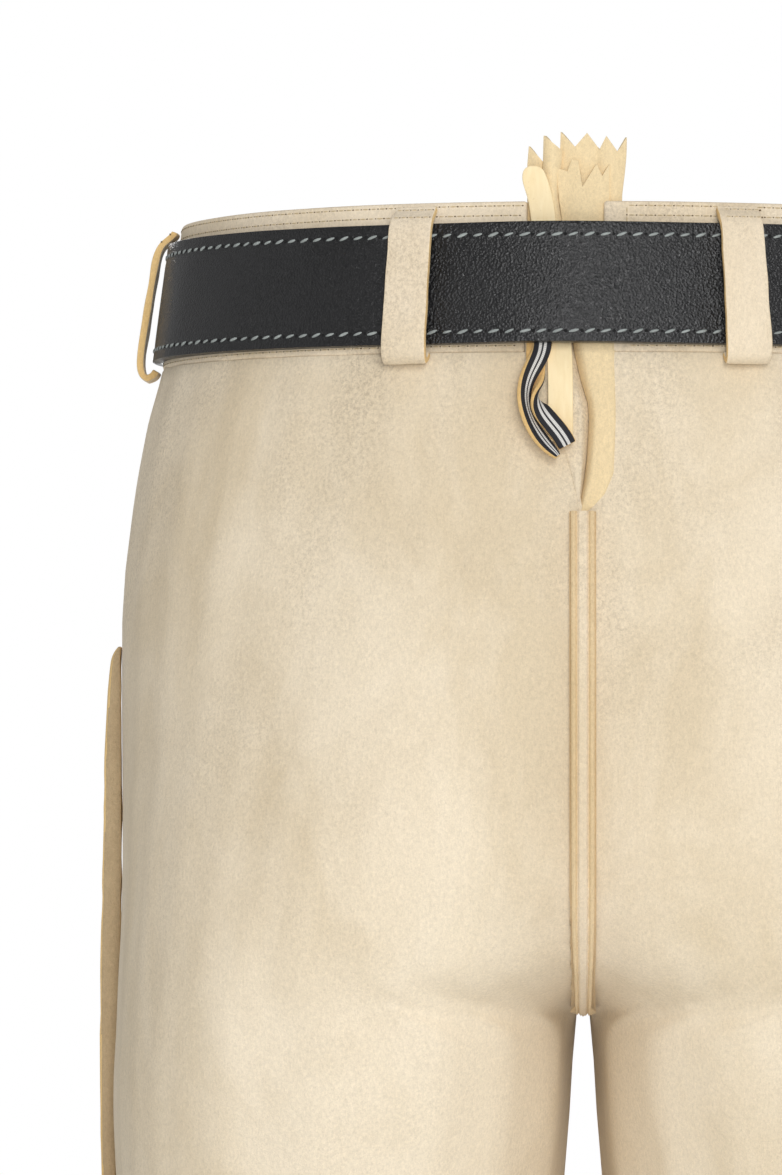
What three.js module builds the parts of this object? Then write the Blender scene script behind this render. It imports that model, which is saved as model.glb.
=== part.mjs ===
// Lederhosen: short breeches of pale suede leather, filled out as if worn, with their black belt.
//
// Millimetres, +Z up. The front faces -Y and the wearer's left is +X. The origin is the middle of
// the waist opening, 3 mm under the waistband's top edge.
//
// Every piece of leather is a closed wall. The body is a stack of rings, one half-ring for each leg,
// and everything that lies on the body is placed from the same rings, moved out along the normal.

import * as THREE from 'three';

// ---------------------------------------------------------------- driving sizes
const SEAM_GAP = 0.3; // between pieces that meet
const PANEL_WALL = 2;
const BAND_WALL = 3; // the waistband is two layers
const BAND_BOTTOM = -46.3;
const BAND_TOP = 2.6;
const BAND_RISE_AT_BACK = 1;
const HEM = -500;
const SIDE_SEAM_Y = 8;

const BELT_WIDTH = 40;
const BELT_THICK = 3.4;
const BELT_MIDDLE = -24;
const BELT_CLEARANCE = 0.5; // between the waistband and the belt
const BELT_BULGE = { out: 4.3, x: 8, reach: 27 }; // over the bundle of gusset and laces
const BELT_TIP_X = 52;

const LOOP_WIDTH = 14.2;
const LOOP_THICK = 2.6;
const BACK_LOOP_X = [55, -51];
const FRONT_LOOP_X = [84, -84];

const WELT_TOP = -99;
const WELT_BOTTOM = -263;
const FRONT_WELT_TOP = -181;

const LACE_WIDTH = 6.4;
const LACE_THICK = 1.5;
const STRAP_WIDTH = 8.2;
const STRAP_THICK = 1.8;

// ---------------------------------------------------------------- the body's rings
// side: half-width at the side seam. crest: where the leg's back and front stand out most.
// inner: where the leg's ring would end towards the other leg; it lies beyond the centre plane
// above the crotch and leaves the gap between the legs below it. back, front: depth.
// power: 2 is an ellipse, more is squarer.
const BODY = [
  { z: 6, side: 138.2, crest: 0, inner: -138.2, back: 129.0, front: -110.5, power: 2.1 },
  { z: -22, side: 141.0, crest: 0, inner: -141.0, back: 131.0, front: -112.5, power: 2.1 },
  { z: -46, side: 144.6, crest: 0, inner: -144.6, back: 133.5, front: -114.5, power: 2.1 },
  { z: -63, side: 149.4, crest: 0, inner: -149.4, back: 137.0, front: -116.0, power: 2.15 },
  { z: -97, side: 155.3, crest: 0, inner: -155.3, back: 143.0, front: -118.0, power: 2.2 },
  { z: -132, side: 158.6, crest: 3, inner: -158.6, back: 147.0, front: -119.0, power: 2.25 },
  { z: -165, side: 158.6, crest: 15, inner: -151.0, back: 149.0, front: -118.0, power: 2.3 },
  { z: -195, side: 158.4, crest: 31, inner: -128.0, back: 148.5, front: -115.5, power: 2.35 },
  { z: -222, side: 158.4, crest: 46, inner: -94.0, back: 145.0, front: -112.0, power: 2.4 },
  { z: -239, side: 158.7, crest: 57, inner: -60.0, back: 140.0, front: -109.0, power: 2.4 },
  { z: -252.5, side: 159.0, crest: 65, inner: -30.0, back: 135.5, front: -106.0, power: 2.4 },
  { z: -260, side: 159.2, crest: 69, inner: -9.0, back: 132.7, front: -104.3, power: 2.4 },
  { z: -263, side: 159.3, crest: 70.5, inner: -2.5, back: 131.6, front: -103.6, power: 2.38 },
  { z: -266, side: 159.4, crest: 72, inner: 2.1, back: 130.5, front: -103.0, power: 2.36 },
  { z: -300, side: 160.0, crest: 79, inner: 4.6, back: 121.0, front: -97.0, power: 2.3 },
  { z: -360, side: 160.4, crest: 84, inner: 9.6, back: 111.5, front: -89.0, power: 2.2 },
  { z: -430, side: 159.6, crest: 87, inner: 15.4, back: 107.0, front: -84.0, power: 2.15 },
  { z: -506, side: 158.0, crest: 90, inner: 21.7, back: 104.0, front: -81.0, power: 2.15 },
];

// The notch at the centre back. left: edge of the left panel. edge: free edge of the turned strip
// on the right. seam: where that strip is sewn to the right panel.
const NOTCH = [
  { z: -46, left: 12.8, edge: 2.6, seam: -10.2 },
  { z: -54, left: 12.6, edge: 0.4, seam: -10.2 },
  { z: -69, left: 8.5, edge: -2.3, seam: -10.2 },
  { z: -86, left: 3.2, edge: -0.8, seam: -9.6 },
  { z: -93, left: 1.3, edge: -0.5, seam: -6.5 },
  { z: -97, left: 0.3, edge: -0.4, seam: -2.6 },
  { z: -99, left: SEAM_GAP / 2, edge: -SEAM_GAP / 2, seam: -SEAM_GAP / 2 },
];

// Pleated gusset in the notch, from under the waistband to above it.
const GUSSET = [
  { z: 24, left: 20.2, right: -15.0, pleat: 5.5 },
  { z: 8, left: 19.5, right: -14.0, pleat: 5.5 },
  { z: -20, left: 19.5, right: -13.0, pleat: 5.0 },
  { z: -50, left: 16.5, right: -9.0, pleat: 4.5 },
  { z: -75, left: 9.5, right: -5.5, pleat: 3.0 },
  { z: -94, left: 4.0, right: -3.5, pleat: 1.0 },
];
const GUSSET_PLEATS = 4;
const GUSSET_TEETH = 6;
const GUSSET_TOOTH = 6;
const GUSSET_SETBACK = 3.6;
const GUSSET_WALL = 2.2; // across the pleats, so their flanks are 1.2 mm

// Middle line of a belt loop: how far it stands out of the waistband, from its top to its turned end.
const LOOP = [
  { out: 1.7, z: 1.6 },
  { out: 2.1, z: 0.4 },
  { out: 3.8, z: -1.4 },
  { out: 5.4, z: -2.8 },
  { out: 6.7, z: -5.2 },
  { out: 7.5, z: -10 },
  { out: 8.0, z: -20 },
  { out: 8.4, z: -32 },
  { out: 8.5, z: -40 },
  { out: 8.0, z: -46 },
  { out: 6.4, z: -49.4 },
  { out: 4.4, z: -50.0 },
  { out: 2.7, z: -48.6 },
  { out: 2.0, z: -46.6 },
];

const KEEPER = [
  { out: 2.2, z: -2.2 },
  { out: 6.6, z: -1.6 },
  { out: 9.2, z: -3.0 },
  { out: 9.9, z: -6 },
  { out: 9.9, z: -42 },
  { out: 9.2, z: -45.0 },
  { out: 6.6, z: -46.4 },
  { out: 2.2, z: -45.8 },
];
const KEEPER_X = 28;
const KEEPER_WIDTH = 11;
const KEEPER_THICK = 1.8;

// How far the side welt stands out; it starts with a rounded top and runs to the hem.
const SIDE_WELT = [
  { z: -141, out: 1.4 },
  { z: -144, out: 3.8 },
  { z: -150, out: 5.0 },
  { z: -184, out: 6.2 },
  { z: -218, out: 6.8 },
  { z: -253, out: 7.0 },
  { z: -322, out: 5.4 },
  { z: HEM, out: 5.0 },
];
const SIDE_WELT_WIDTH = 7;

// The fall flap on the front: its half-width at each height.
const FLAP = [
  { z: -53, half: 80 },
  { z: -95, half: 78 },
  { z: -135, half: 74 },
  { z: -178, half: 68 },
];
const FLAP_LIFT = 0.7; // clear of the panels' facets
const BUTTON = { x: 66, z: -63, radius: 9.5, thick: 3.2 };

// Flat strap of smooth leather that passes behind the belt at the centre back.
const STRAP = [
  { x: 16.2, out: 1.0, z: 15.0, wide: 0.35 },
  { x: 16.2, out: 1.0, z: 14.0, wide: 0.8 },
  { x: 16.0, out: 0.9, z: 11.5, wide: 1 },
  { x: 14.4, out: 0.4, z: 7.0, wide: 1 },
  { x: 13.3, out: -1.2, z: 2.0, wide: 1 },
  { x: 12.4, out: -1.4, z: -8.0, wide: 1 },
  { x: 9.8, out: -1.4, z: -30.0, wide: 1 },
  { x: 7.8, out: -0.9, z: -42.5, wide: 1 },
  { x: 7.3, out: 1.5, z: -50.0, wide: 1 },
  { x: 7.2, out: 1.7, z: -58.0, wide: 1 },
  { x: 7.2, out: 1.7, z: -75.6, wide: 1 },
];

// The two ends of the flat lace, from behind the belt to their free ends. turn: how far the lace
// has twisted from lying flat, in degrees. wide: share of its full width.
const LACE_A = [
  { x: 12.8, y: 134.5, z: -34.0, turn: 0, wide: 1 },
  { x: 12.8, y: 134.9, z: -38.0, turn: 0, wide: 1 },
  { x: 12.9, y: 135.3, z: -42.0, turn: 2, wide: 1 },
  { x: 13.3, y: 136.1, z: -45.5, turn: 8, wide: 1 },
  { x: 14.6, y: 138.5, z: -48.5, turn: 28, wide: 1 },
  { x: 16.3, y: 140.6, z: -51.4, turn: 48, wide: 1 },
  { x: 17.9, y: 141.8, z: -54.5, turn: 62, wide: 1 },
  { x: 19.0, y: 142.5, z: -57.8, turn: 72, wide: 1 },
  { x: 19.4, y: 142.9, z: -61.2, turn: 80, wide: 1 },
  { x: 19.1, y: 143.2, z: -64.6, turn: 86, wide: 1 },
  { x: 18.1, y: 143.5, z: -67.9, turn: 90, wide: 1 },
  { x: 16.6, y: 143.9, z: -71.0, turn: 90, wide: 1 },
  { x: 14.7, y: 144.5, z: -73.9, turn: 88, wide: 0.95 },
  { x: 12.6, y: 145.2, z: -76.6, turn: 84, wide: 0.8 },
  { x: 10.3, y: 146.0, z: -79.0, turn: 80, wide: 0.6 },
  { x: 8.0, y: 146.8, z: -81.2, turn: 75, wide: 0.3 },
];
const LACE_B = [
  { x: 15.3, y: 133.2, z: -40.0, turn: 0, wide: 1 },
  { x: 15.3, y: 133.5, z: -43.0, turn: 0, wide: 1 },
  { x: 15.3, y: 134.0, z: -46.0, turn: 0, wide: 1 },
  { x: 15.3, y: 134.7, z: -49.0, turn: 0, wide: 1 },
  { x: 15.3, y: 135.8, z: -52.0, turn: -8, wide: 1 },
  { x: 15.4, y: 137.4, z: -55.0, turn: -25, wide: 1 },
  { x: 15.6, y: 139.1, z: -57.8, turn: -50, wide: 1 },
  { x: 15.7, y: 140.4, z: -60.4, turn: -80, wide: 1 },
  { x: 15.3, y: 141.6, z: -62.8, turn: -110, wide: 1 },
  { x: 14.3, y: 142.6, z: -64.9, turn: -138, wide: 1 },
  { x: 12.9, y: 143.3, z: -66.8, turn: -160, wide: 1 },
  { x: 11.2, y: 143.8, z: -68.7, turn: -174, wide: 1 },
  { x: 9.4, y: 144.2, z: -70.7, turn: -180, wide: 1 },
  { x: 7.6, y: 144.6, z: -72.9, turn: -180, wide: 1 },
  { x: 6.0, y: 144.9, z: -75.3, turn: -180, wide: 1 },
  { x: 4.9, y: 145.1, z: -77.4, turn: -180, wide: 1 },
];

const BACK = 1;
const FRONT = -1;
const LEFT = 1;
const RIGHT = -1;

// ---------------------------------------------------------------- reading the tables
// Value of a column at height z, by a smooth curve that never overshoots its rows.
function columnAt(rows, column, z) {
  const last = rows.length - 1;
  let i = 0;
  while (i < last - 1 && z < rows[i + 1].z) i += 1;
  const slope = (k) => (rows[k + 1][column] - rows[k][column]) / (rows[k + 1].z - rows[k].z);
  const tangent = (k) => {
    if (k === 0) return slope(0);
    if (k === last) return slope(last - 1);
    const before = slope(k - 1);
    const after = slope(k);
    return before * after <= 0 ? 0 : (2 * before * after) / (before + after);
  };
  const span = rows[i + 1].z - rows[i].z;
  const t = THREE.MathUtils.clamp((z - rows[i].z) / span, 0, 1);
  const h01 = t * t * (3 - 2 * t);
  const h10 = t * (1 - t) * (1 - t);
  const h11 = t * t * (t - 1);
  return rows[i][column] * (1 - h01) + rows[i + 1][column] * h01
    + span * (tangent(i) * h10 + tangent(i + 1) * h11);
}

function straightColumnAt(rows, column, z) {
  let i = 0;
  while (i < rows.length - 2 && z < rows[i + 1].z) i += 1;
  const t = THREE.MathUtils.clamp((z - rows[i].z) / (rows[i + 1].z - rows[i].z), 0, 1);
  return THREE.MathUtils.lerp(rows[i][column], rows[i + 1][column], t);
}

// ---------------------------------------------------------------- the body's surface
function ringAt(z) {
  const crest = columnAt(BODY, 'crest', z);
  return {
    crest,
    outerReach: columnAt(BODY, 'side', z) - crest,
    innerReach: crest - columnAt(BODY, 'inner', z),
    back: columnAt(BODY, 'back', z) - SIDE_SEAM_Y,
    front: SIDE_SEAM_Y - columnAt(BODY, 'front', z),
    power: columnAt(BODY, 'power', z),
  };
}

const signedPower = (value, exponent) => Math.sign(value) * Math.abs(value) ** exponent;

// A point of a leg's ring. angle 0 is the side seam, 90 degrees the back, 180 the inside of the leg.
function ringPoint(hand, angle, z) {
  const ring = ringAt(z);
  const depth = Math.sin(angle) >= 0 ? ring.back : ring.front;
  const reach = Math.cos(angle) >= 0 ? ring.outerReach : ring.innerReach;
  const x = ring.crest + reach * signedPower(Math.cos(angle), 2 / ring.power);
  const y = SIDE_SEAM_Y + depth * signedPower(Math.sin(angle), 2 / ring.power);
  return new THREE.Vector3(hand * x, y, z);
}

function ringNormal(hand, angle, z) {
  const turn = 0.02;
  const step = 0.6;
  const along = ringPoint(hand, angle + turn, z).sub(ringPoint(hand, angle - turn, z));
  const up = ringPoint(hand, angle, z + step).sub(ringPoint(hand, angle, z - step));
  return along.cross(up).multiplyScalar(hand).normalize();
}

function skin(hand, angle, z, out) {
  return ringPoint(hand, angle, z).addScaledVector(ringNormal(hand, angle, z), out);
}

// The angle on a ring at which it stands at a given distance from the centre plane.
function angleAtX(x, z) {
  const ring = ringAt(z);
  const reach = x >= ring.crest ? ring.outerReach : ring.innerReach;
  const share = THREE.MathUtils.clamp((x - ring.crest) / reach, -1, 1);
  return Math.acos(signedPower(share, ring.power / 2));
}

function seamAngle(z, depth) {
  return Math.asin((SEAM_GAP / 2 / depth) ** (ringAt(z).power / 2));
}

// A point over the back or the front at a given x, and the way out there.
function normalAtX(x, z, face) {
  const hand = x < 0 ? RIGHT : LEFT;
  const normal = ringNormal(hand, face * angleAtX(Math.abs(x), z), z);
  if (Math.abs(x) < SEAM_GAP) normal.setX(0).normalize();
  return normal;
}

function skinAtX(x, z, face, out) {
  const hand = x < 0 ? RIGHT : LEFT;
  const point = ringPoint(hand, face * angleAtX(Math.abs(x), z), z);
  return point.addScaledVector(normalAtX(x, z, face), out);
}

// ---------------------------------------------------------------- closed shapes
function closedGeometry(points, triangles) {
  const geometry = new THREE.BufferGeometry();
  const positions = new Float32Array(points.flatMap((p) => [p.x, p.y, p.z]));
  let volume = 0;
  for (const [a, b, c] of triangles) {
    volume += points[a].dot(new THREE.Vector3().crossVectors(points[b], points[c]));
  }
  const facingOut = volume > 0 ? triangles : triangles.map(([a, b, c]) => [a, c, b]);
  geometry.setAttribute('position', new THREE.BufferAttribute(positions, 3));
  geometry.setIndex(facingOut.flat());
  geometry.computeVertexNormals();
  return geometry;
}

// A wall between two grids of points of the same size: its outer and its inner face.
function wallGeometry(outer, inner) {
  const rows = outer.length;
  const columns = outer[0].length;
  const count = rows * columns;
  const points = [...outer.flat(), ...inner.flat()];
  const triangles = [];
  const quad = (a, b, c, d) => triangles.push([a, b, c], [a, c, d]);
  const at = (row, column) => row * columns + column;
  for (let r = 0; r < rows - 1; r += 1) {
    for (let c = 0; c < columns - 1; c += 1) {
      quad(at(r, c), at(r, c + 1), at(r + 1, c + 1), at(r + 1, c));
      quad(count + at(r, c), count + at(r + 1, c), count + at(r + 1, c + 1), count + at(r, c + 1));
    }
    quad(at(r, 0), at(r + 1, 0), count + at(r + 1, 0), count + at(r, 0));
    const end = columns - 1;
    quad(at(r, end), count + at(r, end), count + at(r + 1, end), at(r + 1, end));
  }
  for (let c = 0; c < columns - 1; c += 1) {
    const end = rows - 1;
    quad(at(0, c), count + at(0, c), count + at(0, c + 1), at(0, c + 1));
    quad(at(end, c), at(end, c + 1), count + at(end, c + 1), count + at(end, c));
  }
  return closedGeometry(points, triangles);
}

// A solid through rings of points. A ring path that closes on itself has no caps.
function ringsGeometry(rings, closed = false) {
  const size = rings[0].length;
  const triangles = [];
  const spans = closed ? rings.length : rings.length - 1;
  for (let r = 0; r < spans; r += 1) {
    const next = (r + 1) % rings.length;
    for (let i = 0; i < size; i += 1) {
      const j = (i + 1) % size;
      triangles.push([r * size + i, r * size + j, next * size + j]);
      triangles.push([r * size + i, next * size + j, next * size + i]);
    }
  }
  if (!closed) {
    const lastRing = (rings.length - 1) * size;
    for (let i = 1; i < size - 1; i += 1) {
      triangles.push([0, i + 1, i], [lastRing, lastRing + i, lastRing + i + 1]);
    }
  }
  return closedGeometry(rings.flat(), triangles);
}

// A round rod along points; frames come from the next and the previous point.
function rodGeometry(points, radius, closed, sides = 8) {
  const count = points.length;
  const rings = points.map((point, k) => {
    const before = points[closed ? (k + count - 1) % count : Math.max(k - 1, 0)];
    const after = points[closed ? (k + 1) % count : Math.min(k + 1, count - 1)];
    const along = after.clone().sub(before).normalize();
    const across = new THREE.Vector3(0, -1, 0).cross(along).normalize();
    const third = along.clone().cross(across);
    return Array.from({ length: sides }, (_, i) => {
      const angle = (2 * Math.PI * i) / sides;
      return point.clone()
        .addScaledVector(across, radius * Math.cos(angle))
        .addScaledVector(third, radius * Math.sin(angle));
    });
  });
  return ringsGeometry(rings, closed);
}

// A flat ribbon along a path. Each row gives the point, its outward direction, the twist in degrees
// and the share of the full width.
function ribbonGeometry(path, width, thick) {
  const outer = [];
  const inner = [];
  path.forEach((row, k) => {
    const before = path[Math.max(k - 1, 0)].point;
    const after = path[Math.min(k + 1, path.length - 1)].point;
    const along = after.clone().sub(before).normalize();
    const side = along.clone().cross(row.outward).normalize();
    const face = side.clone().cross(along).normalize();
    const turn = THREE.MathUtils.degToRad(row.turn);
    const across = side.clone().multiplyScalar(Math.cos(turn)).addScaledVector(face, Math.sin(turn));
    const up = across.clone().cross(along).normalize();
    const reach = (width / 2) * row.wide;
    const edge = (way, lift) => row.point.clone()
      .addScaledVector(across, way * reach)
      .addScaledVector(up, (lift * thick) / 2);
    outer.push([edge(-1, 1), edge(1, 1)]);
    inner.push([edge(-1, -1), edge(1, -1)]);
  });
  return wallGeometry(outer, inner);
}

// ---------------------------------------------------------------- panels
// Heights of the rows of points in a panel: the rings, a row between those that are far apart,
// and on the back the rows of the notch.
function panelRows(face) {
  const top = BAND_BOTTOM - SEAM_GAP;
  const farApart = 13;
  const rings = BODY.map((row) => row.z).filter((z) => z < top && z > HEM);
  const heights = [top, ...rings, HEM];
  const between = heights.slice(1).flatMap((z, i) => {
    const above = heights[i];
    return above - z > farApart ? [(above + z) / 2] : [];
  });
  const notch = NOTCH.map((row) => row.z).filter((z) => z < top);
  const all = face === BACK ? [...heights, ...notch, ...between] : [...heights, ...between];
  const sorted = [...new Set(all)].sort((a, b) => b - a);
  const tooClose = 2;
  return sorted.filter((z, i) => notch.includes(z) || i === 0 || z === HEM
    || (sorted[i - 1] - z > tooClose && z - (sorted[i + 1] ?? HEM - 9) > tooClose));
}

// How far from the centre plane a back panel's edge is.
function centreEdge(hand, face, z) {
  if (face === FRONT || z < NOTCH.at(-1).z) return SEAM_GAP / 2;
  if (hand === LEFT) return straightColumnAt(NOTCH, 'left', z);
  return SEAM_GAP - straightColumnAt(NOTCH, 'seam', z) - SEAM_GAP / 2;
}

function panelGeometry(hand, face) {
  // The outer columns keep their angle at every height; the inner ones spread under the crotch.
  const outerColumns = 6;
  const innerColumns = 5;
  const turn = THREE.MathUtils.degToRad(62);
  const rows = panelRows(face).map((z) => {
    const ring = ringAt(z);
    const gap = seamAngle(z, face === BACK ? ring.back : ring.front);
    const centre = Math.min(angleAtX(centreEdge(hand, face, z), z), Math.PI - gap);
    const outer = Array.from({ length: outerColumns }, (_, i) => (
      THREE.MathUtils.lerp(gap, turn, i / outerColumns)));
    const inner = Array.from({ length: innerColumns + 1 }, (_, i) => (
      THREE.MathUtils.lerp(turn, centre, i / innerColumns)));
    return { z, angles: [...outer, ...inner].map((angle) => face * angle) };
  });
  const grid = (out) => rows.map(({ z, angles }) => angles.map((angle) => skin(hand, angle, z, out)));
  return wallGeometry(grid(0), grid(-PANEL_WALL));
}

// ---------------------------------------------------------------- waistband
const bandTop = (angle) => BAND_TOP + BAND_RISE_AT_BACK * Math.sin(angle);

function waistbandGeometry(hand, backX) {
  const columns = 22;
  const levels = [0, 0.5, 1];
  const start = angleAtX(backX, BELT_MIDDLE);
  const end = -angleAtX(SEAM_GAP / 2, BELT_MIDDLE);
  const angles = Array.from({ length: columns + 1 }, (_, i) => (
    THREE.MathUtils.lerp(start, end, i / columns)));
  const grid = (out) => levels.map((level) => angles.map((angle) => (
    skin(hand, angle, THREE.MathUtils.lerp(BAND_BOTTOM, bandTop(angle), level), out))));
  return wallGeometry(grid(0), grid(-BAND_WALL));
}

// ---------------------------------------------------------------- belt
// Stations along the strap: it starts at the buckle, goes round the wearer's left side, the back
// and the right side, passes over its own start and ends in a rounded tip.
const FULL_TURN = 2 * Math.PI;
const BUCKLE_BAR_X = 1;
const BUCKLE_FAR_X = -37;
const frontAngle = (x) => (x < 0 ? Math.PI + angleAtX(-x, BELT_MIDDLE) : FULL_TURN - angleAtX(x, BELT_MIDDLE));

function beltStation(angle) {
  const point = ringPoint(LEFT, angle, BELT_MIDDLE);
  const back = Math.max(Math.sin(angle), 0);
  const spread = (point.x - BELT_BULGE.x) / BELT_BULGE.reach;
  const bulge = back > 0 ? BELT_BULGE.out * Math.exp(-spread * spread) : 0;
  const climb = THREE.MathUtils.smoothstep(angle, frontAngle(BUCKLE_FAR_X + 5), frontAngle(BUCKLE_BAR_X - 4));
  const overlap = climb * (BELT_THICK + 1);
  return { angle, out: BELT_CLEARANCE + bulge + overlap, share: 1 };
}

function beltGeometry() {
  const start = frontAngle(BUCKLE_BAR_X + 5) - FULL_TURN;
  const tip = frontAngle(BELT_TIP_X);
  const steps = 62;
  const stations = Array.from({ length: steps + 1 }, (_, i) => (
    beltStation(THREE.MathUtils.lerp(start, tip, i / steps))));
  const tipShape = [{ x: 4, share: 0.93 }, { x: 8, share: 0.76 }, { x: 11, share: 0.5 }, { x: 13, share: 0.15 }];
  for (const { x, share } of tipShape) {
    stations.push({ ...beltStation(frontAngle(BELT_TIP_X + x)), share });
  }
  const levels = [-1, 1];
  const grid = (thick) => stations.map(({ angle, out, share }) => levels.map((level) => (
    skin(LEFT, angle, BELT_MIDDLE + (level * share * BELT_WIDTH) / 2, out + thick))));
  return wallGeometry(grid(BELT_THICK), grid(0));
}

// A band over the belt, from a middle line of distances out and heights.
function bandGeometry(line, width, thick, angle) {
  const centre = ringPoint(LEFT, angle, BELT_MIDDLE);
  const along = ringPoint(LEFT, angle + 0.01, BELT_MIDDLE).sub(centre);
  const reach = (width / 2) * (0.01 / along.length());
  const offsets = line.map((row, k) => {
    const before = line[Math.max(k - 1, 0)];
    const after = line[Math.min(k + 1, line.length - 1)];
    const run = Math.hypot(after.out - before.out, after.z - before.z);
    return { out: (before.z - after.z) / run, z: (after.out - before.out) / run };
  });
  const grid = (way) => line.map((row, k) => [-1, 1].map((side) => skin(
    LEFT,
    angle + side * reach,
    row.z + (way * thick * offsets[k].z) / 2,
    row.out + (way * thick * offsets[k].out) / 2,
  )));
  return wallGeometry(grid(1), grid(-1));
}

function loopAngles() {
  const back = BACK_LOOP_X.map((x) => angleAtX(x, BELT_MIDDLE));
  const front = FRONT_LOOP_X.map((x) => -angleAtX(x, BELT_MIDDLE));
  return {
    belt_loop_back_left: back[0],
    belt_loop_back_right: back[1],
    belt_loop_side_left: 0,
    belt_loop_side_right: Math.PI,
    belt_loop_front_left: front[0],
    belt_loop_front_right: front[1],
  };
}

// A point in front of the belt's front: x, height and distance out of the waistband.
const frontPoint = (x, z, out) => skinAtX(x, z, FRONT, out);

function buckleGeometry() {
  const rodRadius = 2;
  const rail = BELT_WIDTH / 2 + 3;
  const barOut = 2.4;
  const farOut = 6.6;
  const corner = 3;
  const middleX = (BUCKLE_BAR_X + BUCKLE_FAR_X) / 2;
  const outline = [
    { x: BUCKLE_BAR_X, z: -rail + corner, out: barOut },
    { x: BUCKLE_BAR_X, z: 0, out: barOut },
    { x: BUCKLE_BAR_X, z: rail - corner, out: barOut },
    { x: BUCKLE_BAR_X - 1, z: rail - 1, out: barOut + 0.1 },
    { x: BUCKLE_BAR_X - corner, z: rail, out: barOut + 0.3 },
    { x: middleX, z: rail, out: (barOut + farOut) / 2 + 0.6 },
    { x: BUCKLE_FAR_X + corner, z: rail, out: farOut },
    { x: BUCKLE_FAR_X + 1, z: rail - 1, out: farOut },
    { x: BUCKLE_FAR_X, z: rail - corner, out: farOut },
    { x: BUCKLE_FAR_X, z: 0, out: farOut },
    { x: BUCKLE_FAR_X, z: -rail + corner, out: farOut },
    { x: BUCKLE_FAR_X + 1, z: -rail + 1, out: farOut },
    { x: BUCKLE_FAR_X + corner, z: -rail, out: farOut },
    { x: middleX, z: -rail, out: (barOut + farOut) / 2 + 0.6 },
    { x: BUCKLE_BAR_X - corner, z: -rail, out: barOut + 0.3 },
    { x: BUCKLE_BAR_X - 1, z: -rail + 1, out: barOut + 0.1 },
  ];
  const points = outline.map((row) => frontPoint(row.x, BELT_MIDDLE + row.z, row.out));
  return rodGeometry(points, rodRadius, true);
}

function prongGeometry() {
  const prongRadius = 1.3;
  const ends = [
    { x: -8, out: 9.4 },
    { x: -24, out: 10.4 },
    { x: BUCKLE_FAR_X - 2, out: 10.4 },
  ];
  const points = ends.map((row) => frontPoint(row.x, BELT_MIDDLE, row.out));
  return rodGeometry(points, prongRadius, false);
}

// ---------------------------------------------------------------- centre back
function gussetGeometry() {
  const columns = GUSSET_TEETH * 4;
  const heights = GUSSET.map((row) => row.z);
  const wave = (share) => (1 - Math.cos(2 * Math.PI * GUSSET_PLEATS * share)) / 2;
  const tooth = (share) => 2 * Math.abs(share * GUSSET_TEETH - Math.round(share * GUSSET_TEETH));
  const grid = (deeper) => heights.map((z, k) => Array.from({ length: columns + 1 }, (_, i) => {
    const share = i / columns;
    const x = THREE.MathUtils.lerp(GUSSET[k].left, GUSSET[k].right, share);
    const height = k === 0 ? z - GUSSET_TOOTH * (1 - tooth(share)) : z;
    return skinAtX(x, Math.min(height, BODY[0].z), BACK, -GUSSET_SETBACK - GUSSET[k].pleat * wave(share) - deeper)
      .setZ(height);
  }));
  return wallGeometry(grid(0), grid(GUSSET_WALL));
}

function notchStripGeometry() {
  const columns = 3;
  const proud = 1;
  const rows = NOTCH.slice(0, -1).map((row) => ({ ...row, z: Math.min(row.z, BAND_BOTTOM - SEAM_GAP) }));
  const grid = (out) => rows.map((row) => Array.from({ length: columns + 1 }, (_, i) => (
    skinAtX(THREE.MathUtils.lerp(row.edge, row.seam, i / columns), row.z, BACK, out))));
  return wallGeometry(grid(proud), grid(-PANEL_WALL));
}

function strapGeometry() {
  const path = STRAP.map((row) => {
    const z = Math.min(row.z, BODY[0].z);
    const point = skinAtX(row.x, z, BACK, row.out).setZ(row.z);
    return { point, outward: normalAtX(row.x, z, BACK), turn: 0, wide: row.wide };
  });
  return ribbonGeometry(path, STRAP_WIDTH, STRAP_THICK);
}

function laceGeometry(rows) {
  const outward = new THREE.Vector3(0, 1, 0);
  const path = rows.map((row) => ({
    point: new THREE.Vector3(row.x, row.y, row.z), outward, turn: row.turn, wide: row.wide,
  }));
  return ribbonGeometry(path, LACE_WIDTH, LACE_THICK);
}

// ---------------------------------------------------------------- welts
// A flat ridge over a centre seam. It stands clear of the panels on both sides of the seam.
function centreWeltGeometry(face, top) {
  const width = 7.6;
  const widthAtCrotch = 5.6;
  const proud = 3;
  const least = 1.2;
  const heights = [top, ...panelRows(face).filter((z) => z < top && z >= WELT_BOTTOM)];
  const shares = [-0.5, -0.25, 0, 0.25, 0.5];
  const rows = heights.map((z) => {
    const shrink = THREE.MathUtils.smoothstep(-z, 230, -WELT_BOTTOM);
    return { z, width: THREE.MathUtils.lerp(width, widthAtCrotch, shrink) };
  });
  const base = (row, share) => skinAtX(share * row.width, row.z, face, SEAM_GAP + 0.1);
  const crest = (row, share) => {
    const outward = normalAtX(0, row.z, face);
    const foot = base(row, share);
    const step = base(row, 0).sub(foot).dot(outward);
    return foot.addScaledVector(outward, Math.max(proud + step, least));
  };
  const grid = (place) => rows.map((row) => shares.map((share) => place(row, share)));
  return wallGeometry(grid(crest), grid(base));
}

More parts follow.
